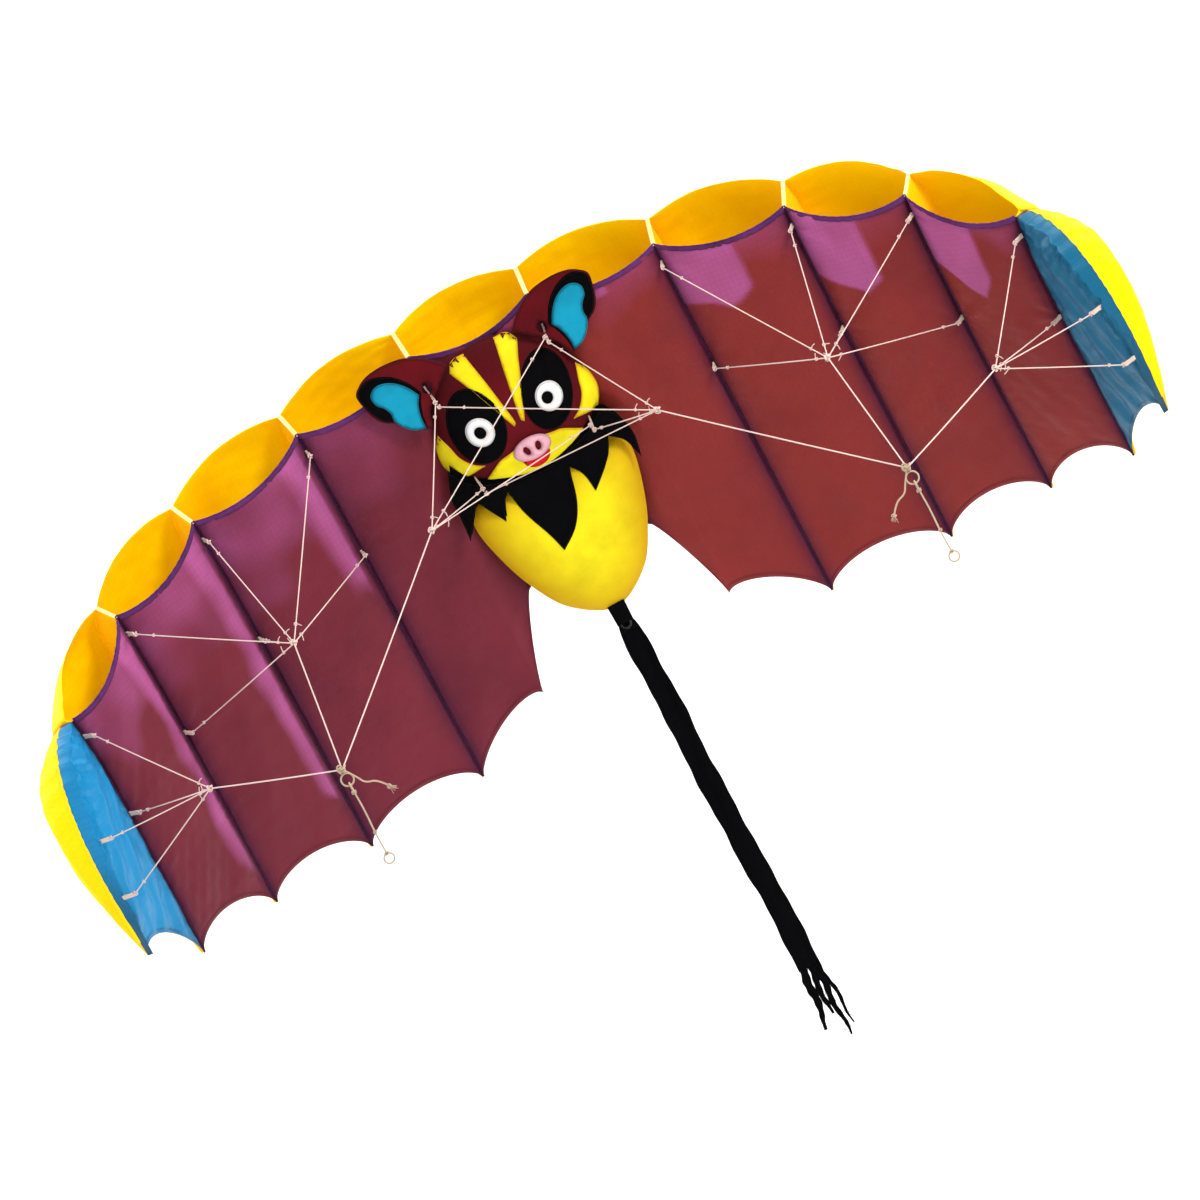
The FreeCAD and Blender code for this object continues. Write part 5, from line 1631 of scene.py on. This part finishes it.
class KITE_OT_face(bpy.types.Operator):
    """Applique the face: stripes, cheeks, muzzle, eye patches, eyes, snout and mouth"""
    bl_idname = "kite.face"
    bl_label = "Face"

    def execute(self, context):
        surface = PADS["surface"]
        runs, dark = [], []

        def add(name, outline, lift, thick, material, slot, *nodes, step=6.0):
            piece = patch(name, surface, outline, lift, thick, material, step)
            return ride(piece, "wing", *nodes, slot=slot)

        yellow, black = figure_material("yellow"), figure_material("black")
        stripe = [(30.6, 55.8), (45, 57.6), (59.4, 63), (68.4, 73.8), (54, 97.2), (37.8, 133.2),
                  (23.4, 165.6), (10.8, 194.4), (5.4, 187.2), (10.8, 151.2), (19.8, 100.8)]
        cheek = [(140.4, 162), (154.8, 187.2), (158.4, 214.2), (153, 235.8), (142.2, 252), (111.6, 243),
                 (90, 237.6), (108, 226.8), (124.2, 207), (131.4, 183.6)]
        muzzle_half = [(0, 223.2), (18, 230.4), (43.2, 235.8), (64.8, 241.2), (90, 259.2), (109.8, 277.2),
                       (81, 284.4), (50.4, 293.4), (18, 302.4), (0, 304.2)]
        muzzle = muzzle_half + [(-x, y) for x, y in muzzle_half[-2:0:-1]]
        add("muzzle", closed_curve(on_side(muzzle), 160, corner=(5, 13)), 2.0, 0.9, yellow, "figure_yellow",
            "face_yellow")
        runs.append(edge_run(surface, closed_curve(on_side(muzzle), 160, corner=(5, 13)), 1.8, 3.1))
        for side, hand in ((1, "_right"), (-1, "_left")):
            for name, shape, corner in (("brow_stripe", stripe, (0, 3, 7)), ("cheek", cheek, (0, 4, 6))):
                outline = closed_curve(on_side(shape, side), 120, corner=corner)
                add(name + hand, outline, 0.35, 0.9, yellow, "figure_yellow", step=5.0)
                runs.append(edge_run(surface, outline, 1.8, 1.5))
            half_wide, lean = (48.24, 0.36) if side > 0 else (50.76, 0.16)
            patch_line = oval_points(70.92 * side, 168.3, half_wide, 68.94, lean, count=110)
            add("eye_patch" + hand, patch_line, 0.5, 1.1, black, "figure_black",
                *(["eye_patches"] if side > 0 else []))
            dark.append(edge_run(surface, patch_line, 1.8, 2.1))
            # the eyes look a little to one side
            pupil_x = 68.4 * side - 2.16
            ring = oval_points(70.2 * side, 177.3, 25.74, 26.1, count=72)
            hole = oval_points(pupil_x, 177.84, 10.62, 10.98, count=40)
            pts, tris = fill_shape(ring, 4.5, [hole])
            edge = np.minimum(np.sqrt(((pts[:, None] - ring[None]) ** 2).sum(-1)).min(1),
                              np.sqrt(((pts[:, None] - hole[None]) ** 2).sum(-1)).min(1))
            base = surface.lay(pts[:, 0], pts[:, 1], 1.7)
            top = base + TOWARD * MM * (0.9 + 2.2 * (1 - np.exp(-edge / 4.0)))[:, None]
            piece = plate_from("eye_ring" + hand, top, base, tris, white_material(), pts * MM,
                               {"edge": np.exp(-edge / 5.0)})
            ride(piece, "wing", *(["eye_rings"] if side > 0 else []), slot="eye_white")
            pupil = oval_points(pupil_x, 177.84, 9.72, 10.08, count=36)
            pts, tris = fill_shape(pupil, 3.0)
            edge = np.sqrt(((pts[:, None] - pupil[None]) ** 2).sum(-1)).min(1)
            base = surface.lay(pts[:, 0], pts[:, 1], 1.7)
            top = base + TOWARD * MM * (0.5 + 2.6 * (1 - np.exp(-edge / 4.0)))[:, None]
            ride(plate_from("pupil" + hand, top, base, tris, black, pts * MM, {"edge": np.zeros(len(pts))}),
                 "wing", slot="figure_black")
            dark.append(edge_run(surface, ring, 1.8, 4.6))
        # red lower lip, then the snout over its top edge
        mouth = [(-27, 262.8), (-23.4, 273.6), (-14.4, 282.6), (0, 286.2), (14.4, 282.6),
                 (23.4, 273.6), (27, 262.8), (0, 264.6)]
        lip = closed_curve(on_side(mouth), 100, corner=(0, 6))
        add("lower_lip", lip, 2.9, 2.4, figure_material("mouth"), "mouth_red", "mouth", step=4.0)
        nose = oval_points(0, 244.8, 36.9, 23.04, count=80)
        nostrils = [oval_points(x, 244.8, 5.22, 8.82, 0.25 * (1 if x > 0 else -1), count=24)
                    for x in (-11.34, 11.34)]
        pts, tris = fill_shape(nose, 4.0, nostrils)
        edge = np.min([np.sqrt(((pts[:, None] - h[None]) ** 2).sum(-1)).min(1) * k
                       for h, k in ((nose, 1.0), (nostrils[0], 2.0), (nostrils[1], 2.0))], axis=0)
        base = surface.lay(pts[:, 0], pts[:, 1], 3.2)
        top = base + TOWARD * MM * (1.0 + 8.0 * (1 - np.exp(-edge / 8.0)))[:, None]
        piece = plate_from("snout_pad", top, base, tris, figure_material("snout"), pts * MM,
                           {"edge": np.exp(-edge / 5.0)})
        ride(piece, "wing", "snout", slot="snout_pink")
        for i, hole in enumerate(nostrils):
            pts, tris = fill_shape(hole, 4.0)
            base = surface.lay(pts[:, 0], pts[:, 1], 3.0)
            ride(plate_from("nostril_%d" % i, base + TOWARD * 1.2 * MM, base, tris, figure_material("face"),
                            pts * MM, {"edge": np.zeros(len(pts))}), "wing", slot="face_cloth")
        sew("face_yellow_stitches", "wing", runs, cloth_material("gold_thread"), 0.7, 0.75, 0.8, seed=51)
        sew("face_dark_stitches", "wing", dark, cloth_material("dark_thread"), 0.7, 0.75, 0.8, seed=53)
        return {"FINISHED"}


# ------------------------------------------------------------------ tail
class KITE_OT_tail(bpy.types.Operator):
    """Hang the black ribbon tail from its loops, with a torn, frayed end"""
    bl_idname = "kite.tail"
    bl_label = "Tail"

    def execute(self, context):
        s = settings().figure
        black = figure_material("black")
        loop_lo, loop_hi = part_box("tail_loop")
        ring_lo, ring_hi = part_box("tail_ring")
        upper_lo, upper_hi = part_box("tail_upper")
        lower_lo, lower_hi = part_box("tail_lower")
        fringe_lo, fringe_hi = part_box("tail_fringe")
        t = np.arange(44) * TAU / 44
        for name, lo, hi, flat_axis, body, node in (("tail_loop_cord", loop_lo, loop_hi, 1, "wing",
                                                     "tail_loop"),
                                                   ("tail_ring_cord", ring_lo, ring_hi, 0, "tail_ring_body",
                                                    "tail_ring")):
            centre = (np.array(lo) + np.array(hi)) / 2
            a = np.stack([np.sin(t) * 0.009, 0 * t, np.cos(t) * 0.009], -1) if flat_axis == 1 else \
                np.stack([0 * t, np.sin(t) * 0.009, np.cos(t) * 0.009], -1)
            parts = [tube_arrays(centre + a, 0.0019, 10, True)]
            ride(join_parts(name, parts, finish_for("tail_cord", lambda: braided(
                "black cord", (0.014, 0.014, 0.016), (0.006, 0.006, 0.007)))), body, node, slot="tail_cord")
        y = (lower_lo[1] + lower_hi[1]) / 2
        top = upper_hi[2] - 0.006
        eye = np.array([0, y, upper_hi[2] - 0.011])
        parts = [tube_arrays(eye + np.stack([np.sin(t) * 0.009, 0 * t, np.cos(t) * 0.009], -1), 0.0019, 10,
                             True)]
        ride(join_parts("tail_eye", parts, finish_for("tail_cord", None)), "tail_upper_body",
             slot="tail_cord")
        half = s.tail_width / 2
        rows, cols = 16, 9
        z = np.linspace(loop_hi[2] + 0.004, ring_lo[2] - 0.001, rows)[:, None]
        u = np.linspace(-1, 1, cols)[None, :]
        q = np.linspace(0, 1, rows)[:, None]
        flap = np.stack(np.broadcast_arrays(u * half * (0.80 - 0.06 * q), y - 0.0125 - 0.001 * np.cos(u * 2.0)
                                            - 0.0006 * np.sin(q * 9 + u), z + 0 * u), -1)
        flap_uv = np.stack(np.broadcast_arrays(u * half, z + 0 * u), -1)
        piece = cloth_shell("tail_root_flap", flap, 1.0, flap_uv,
                            {"edge": 0 * flap[..., 0] + np.abs(u) ** 3 * 0.6}, black)
        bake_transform(piece)
        middle = (lower_lo[2] + lower_hi[2]) / 2

        def ribbon(name, z0, z1, rows, cols=15):
            z = np.linspace(z0, z1, rows)[:, None]
            u = np.linspace(-1, 1, cols)[None, :]
            run = top - z
            pinch = 0.62 + 0.38 * np.clip(run / 0.045, 0, 1) ** 0.6
            edge = 1 + 0.05 * np.sin(run * 41) + 0.03 * np.sin(run * 97 + 1)
            wander = 0.0016 * np.sin(run * 13) + 0.0007 * np.sin(run * 31 + 2)
            x = u * half * pinch * edge + wander
            fold = 0.0016 * np.sin(u * 4.2 + run * 9) + 0.0014 * np.sin(run * 22 + u * 1.3) * np.abs(u) \
                + 0.0006 * np.sin(run * 75 + u * 6)
            fold = fold * np.clip(run / 0.03, 0.2, 1)
            mid = np.stack(np.broadcast_arrays(x, y + fold, z + 0 * u), -1)
            uv = np.stack(np.broadcast_arrays(u * half, run), -1)
            marks = {"edge": np.broadcast_to(np.abs(u) ** 3 * 0.6, mid.shape[:2])}
            piece = cloth_shell(name, mid, 1.0, uv, marks, black)
            return piece, mid, abs(z0 - z1)

        piece, _, long_a = ribbon("tail_ribbon_top", top, middle, 110)
        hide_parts("tail_upper")
        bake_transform(piece)
        foot = fringe_hi[2] - 0.024
        piece, mid_b, long_b = ribbon("tail_ribbon_low", middle, foot, 70)
        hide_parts("tail_lower", "tail_fringe")
        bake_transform(piece)
        runs_low = []
        for sign in (0, -1):
            runs_low.append(mid_b[:, 1 if sign == 0 else -2] + np.array([0, -0.0008, 0]))
        # torn strands and loose threads of the fringe
        rng = np.random.default_rng(17)
        bottom = fringe_lo[2]
        strands = ((-0.95, -0.20, -1.35, 0.80), (-0.30, 0.30, -0.55, 0.66), (0.12, 0.70, 0.05, 1.0),
                   (0.62, 1.0, 0.75, 0.88))
        for i, (left, right, drift, share) in enumerate(strands):
            z = np.linspace(foot, foot + (bottom - foot) * share, 34)[:, None]
            u = np.linspace(0, 1, 6)[None, :]
            q = (foot - z) / (foot - bottom)
            wide = (right - left) * half * (1 - 0.72 * (q / share) ** 2.5) * (1 + 0.12 * np.sin(z * 260 + i))
            mid_x = (left + right) / 2 * half + drift * half * 0.55 * q + 0.0025 * np.sin(z * 70 + i * 2)
            x = mid_x + (u - 0.5) * wide
            fold = 0.0035 * np.sin(z * 60 + i) * q + 0.0012 * np.sin(u * 5 + z * 150)
            mid = np.stack(np.broadcast_arrays(x, y + fold + 0.0008 * (i - 1.5), z + 0 * u), -1)
            uv = np.stack(np.broadcast_arrays(x, z + 0 * u), -1)
            piece = cloth_shell("fringe_strand_%d" % i, mid, 0.9, uv, {"edge": 0 * mid[..., 0] + 0.2}, black)
            ride(piece, "fringe_body", slot="tail_cloth")
        threads = []
        for _ in range(46):
            i = rng.integers(0, 4)
            left, right, drift, share = strands[i]
            q0 = rng.uniform(0.25, 0.95) * share
            z0 = foot + (bottom - foot) * q0
            x0 = (left + right) / 2 * half + drift * half * 0.55 * q0 + rng.normal(0, 0.004)
            long = rng.uniform(0.008, 0.028)
            q = np.linspace(0, 1, 7)[:, None]
            d = np.array([rng.normal(0, 0.5), rng.normal(0, 0.25), -1.0])
            p = np.array([x0, y, z0]) + unit(d) * long * q + np.array([rng.normal(0, 0.004), 0, 0]) * q ** 2
            p[:, 2] = np.maximum(p[:, 2], bottom + 0.001)
            threads.append(tube_arrays(p, 0.0004, 5))
        ride(join_parts("fringe_threads", threads, black), "fringe_body", slot="tail_cloth")
        band_run = [np.array([[x, y - 0.0018, top - 0.012 - 0.003 * i]
                              for x in np.linspace(-half * 0.7, half * 0.7, 12)])
                    for i in range(3)]
        sew("tail_top_stitches", "tail_upper_body", band_run, cloth_material("dark_thread"), seed=61)
        return {"FINISHED"}


# ------------------------------------------------------------------ stage
class KITE_OT_stage(bpy.types.Operator):
    """Set the pale floor and sweep, soft lights and the banked camera"""
    bl_idname = "kite.stage"
    bl_label = "Stage"

    def execute(self, context):
        s = settings().stage
        n = Nodes("pale sweep")
        shade = n.noise(n.position(), 0.8, 2.0)
        n.link(n.ramp(shade, (0.3, (0.86, 0.86, 0.86)), (0.7, (0.90, 0.90, 0.90))),
               n.bsdf.inputs["Base Color"])
        n.bsdf.inputs["Roughness"].default_value = 0.95
        n.bsdf.inputs["Specular IOR Level"].default_value = 0.1
        profile = [(-14.0, -1.75), (2.2, -1.75)]
        for i in range(1, 13):
            a = i / 12 * math.pi / 2
            profile.append((2.2 + 1.6 * math.sin(a), -1.75 + 1.6 * (1 - math.cos(a))))
        profile.append((3.8, 7.0))
        verts = [(x, y, z) for y, z in profile for x in (-11, 11)]
        faces = [(2 * i, 2 * i + 1, 2 * i + 3, 2 * i + 2) for i in range(len(profile) - 1)]
        sweep = new_mesh("pale_sweep", verts, faces, n.mat, orient=False)
        world = bpy.data.worlds.new("soft studio")
        world.use_nodes = True
        world.node_tree.nodes["Background"].inputs[0].default_value = (1.0, 1.0, 1.0, 1)
        world.node_tree.nodes["Background"].inputs[1].default_value = s.ambient
        bpy.context.scene.world = world
        bpy.context.scene.view_settings.view_transform = "Standard"
        for name, where, size, power, colour in (
                ("key", (3.6, -4.2, 3.4), 1.6, s.key, (1.0, 0.97, 0.92)),
                ("fill", (-4.5, -5.0, -0.5), 4.0, s.key * 0.22, (0.93, 0.96, 1.0)),
                ("sky", (0.5, -1.0, 5.5), 5.0, s.key * 0.35, (1.0, 1.0, 1.0)),
                ("backdrop_left", (-5.0, 0.8, 3.0), 3.0, s.key * 0.75, (1, 1, 1)),
                ("backdrop_right", (5.0, 0.8, 3.0), 3.0, s.key * 0.75, (1, 1, 1))):
            light = bpy.data.lights.new(name, "AREA")
            light.energy, light.size, light.color = power, size, colour
            obj = bpy.data.objects.new(name, light)
            obj.location = where
            aim = Vector((0, 0, 0.1)) if not name.startswith("backdrop") else Vector((where[0] * 0.3, 3.8, 0))
            obj.rotation_euler = (aim - Vector(where)).to_track_quat("-Z", "Y").to_euler()
            bpy.context.scene.collection.objects.link(obj)
        cam = bpy.data.cameras.new("view")
        distance = 14.0
        cam.sensor_width = 36
        cam.lens = 36 * distance / s.field
        cam.clip_end = 100
        obj = bpy.data.objects.new("view", cam)
        c, r = math.cos(s.roll), math.sin(s.roll)
        spin = Matrix(((c, r, 0), (0, 0, -1), (-r, c, 0)))
        obj.matrix_world = Matrix.Translation((-0.022, -distance, 0.144)) @ spin.to_4x4()
        bpy.context.scene.collection.objects.link(obj)
        bpy.context.scene.camera = obj
        return {"FINISHED"}


class KITE_PT_panel(bpy.types.Panel):
    """Lists the kite's pieces in the order they are sewn"""
    bl_idname = "KITE_PT_panel"
    bl_label = "Bat Parafoil Kite"
    bl_space_type = "VIEW_3D"
    bl_region_type = "UI"
    bl_category = "Kite"

    def draw(self, context):
        for group in ("cloth", "stitch", "lines", "figure", "stage"):
            box = self.layout.box()
            values = getattr(context.scene.bat_kite, group)
            for key in values.bl_rna.properties.keys():
                if key not in ("rna_type", "name"):
                    box.prop(values, key)
        for op in OPERATORS:
            self.layout.operator(op.bl_idname)


OPERATORS = (KITE_OT_wing_skins, KITE_OT_ribs, KITE_OT_intake_trim, KITE_OT_seams, KITE_OT_bridle_tabs,
             KITE_OT_bridle_lines, KITE_OT_tow_points, KITE_OT_figure_pads, KITE_OT_ruff, KITE_OT_ears,
             KITE_OT_face, KITE_OT_tail, KITE_OT_stage)
CLASSES = ((KiteCloth, KiteStitch, KiteLines, KiteFigure, KiteStage, KiteSettings) + OPERATORS
           + (KITE_PT_panel,))


def register():
    for cls in CLASSES:
        bpy.utils.register_class(cls)
    bpy.types.Scene.bat_kite = bpy.props.PointerProperty(type=KiteSettings)


def unregister():
    del bpy.types.Scene.bat_kite
    for cls in reversed(CLASSES):
        bpy.utils.unregister_class(cls)


def main():
    register()
    for op in OPERATORS:
        group, name = op.bl_idname.split(".")
        getattr(getattr(bpy.ops, group), name)()


if __name__ == "__main__":
    main()
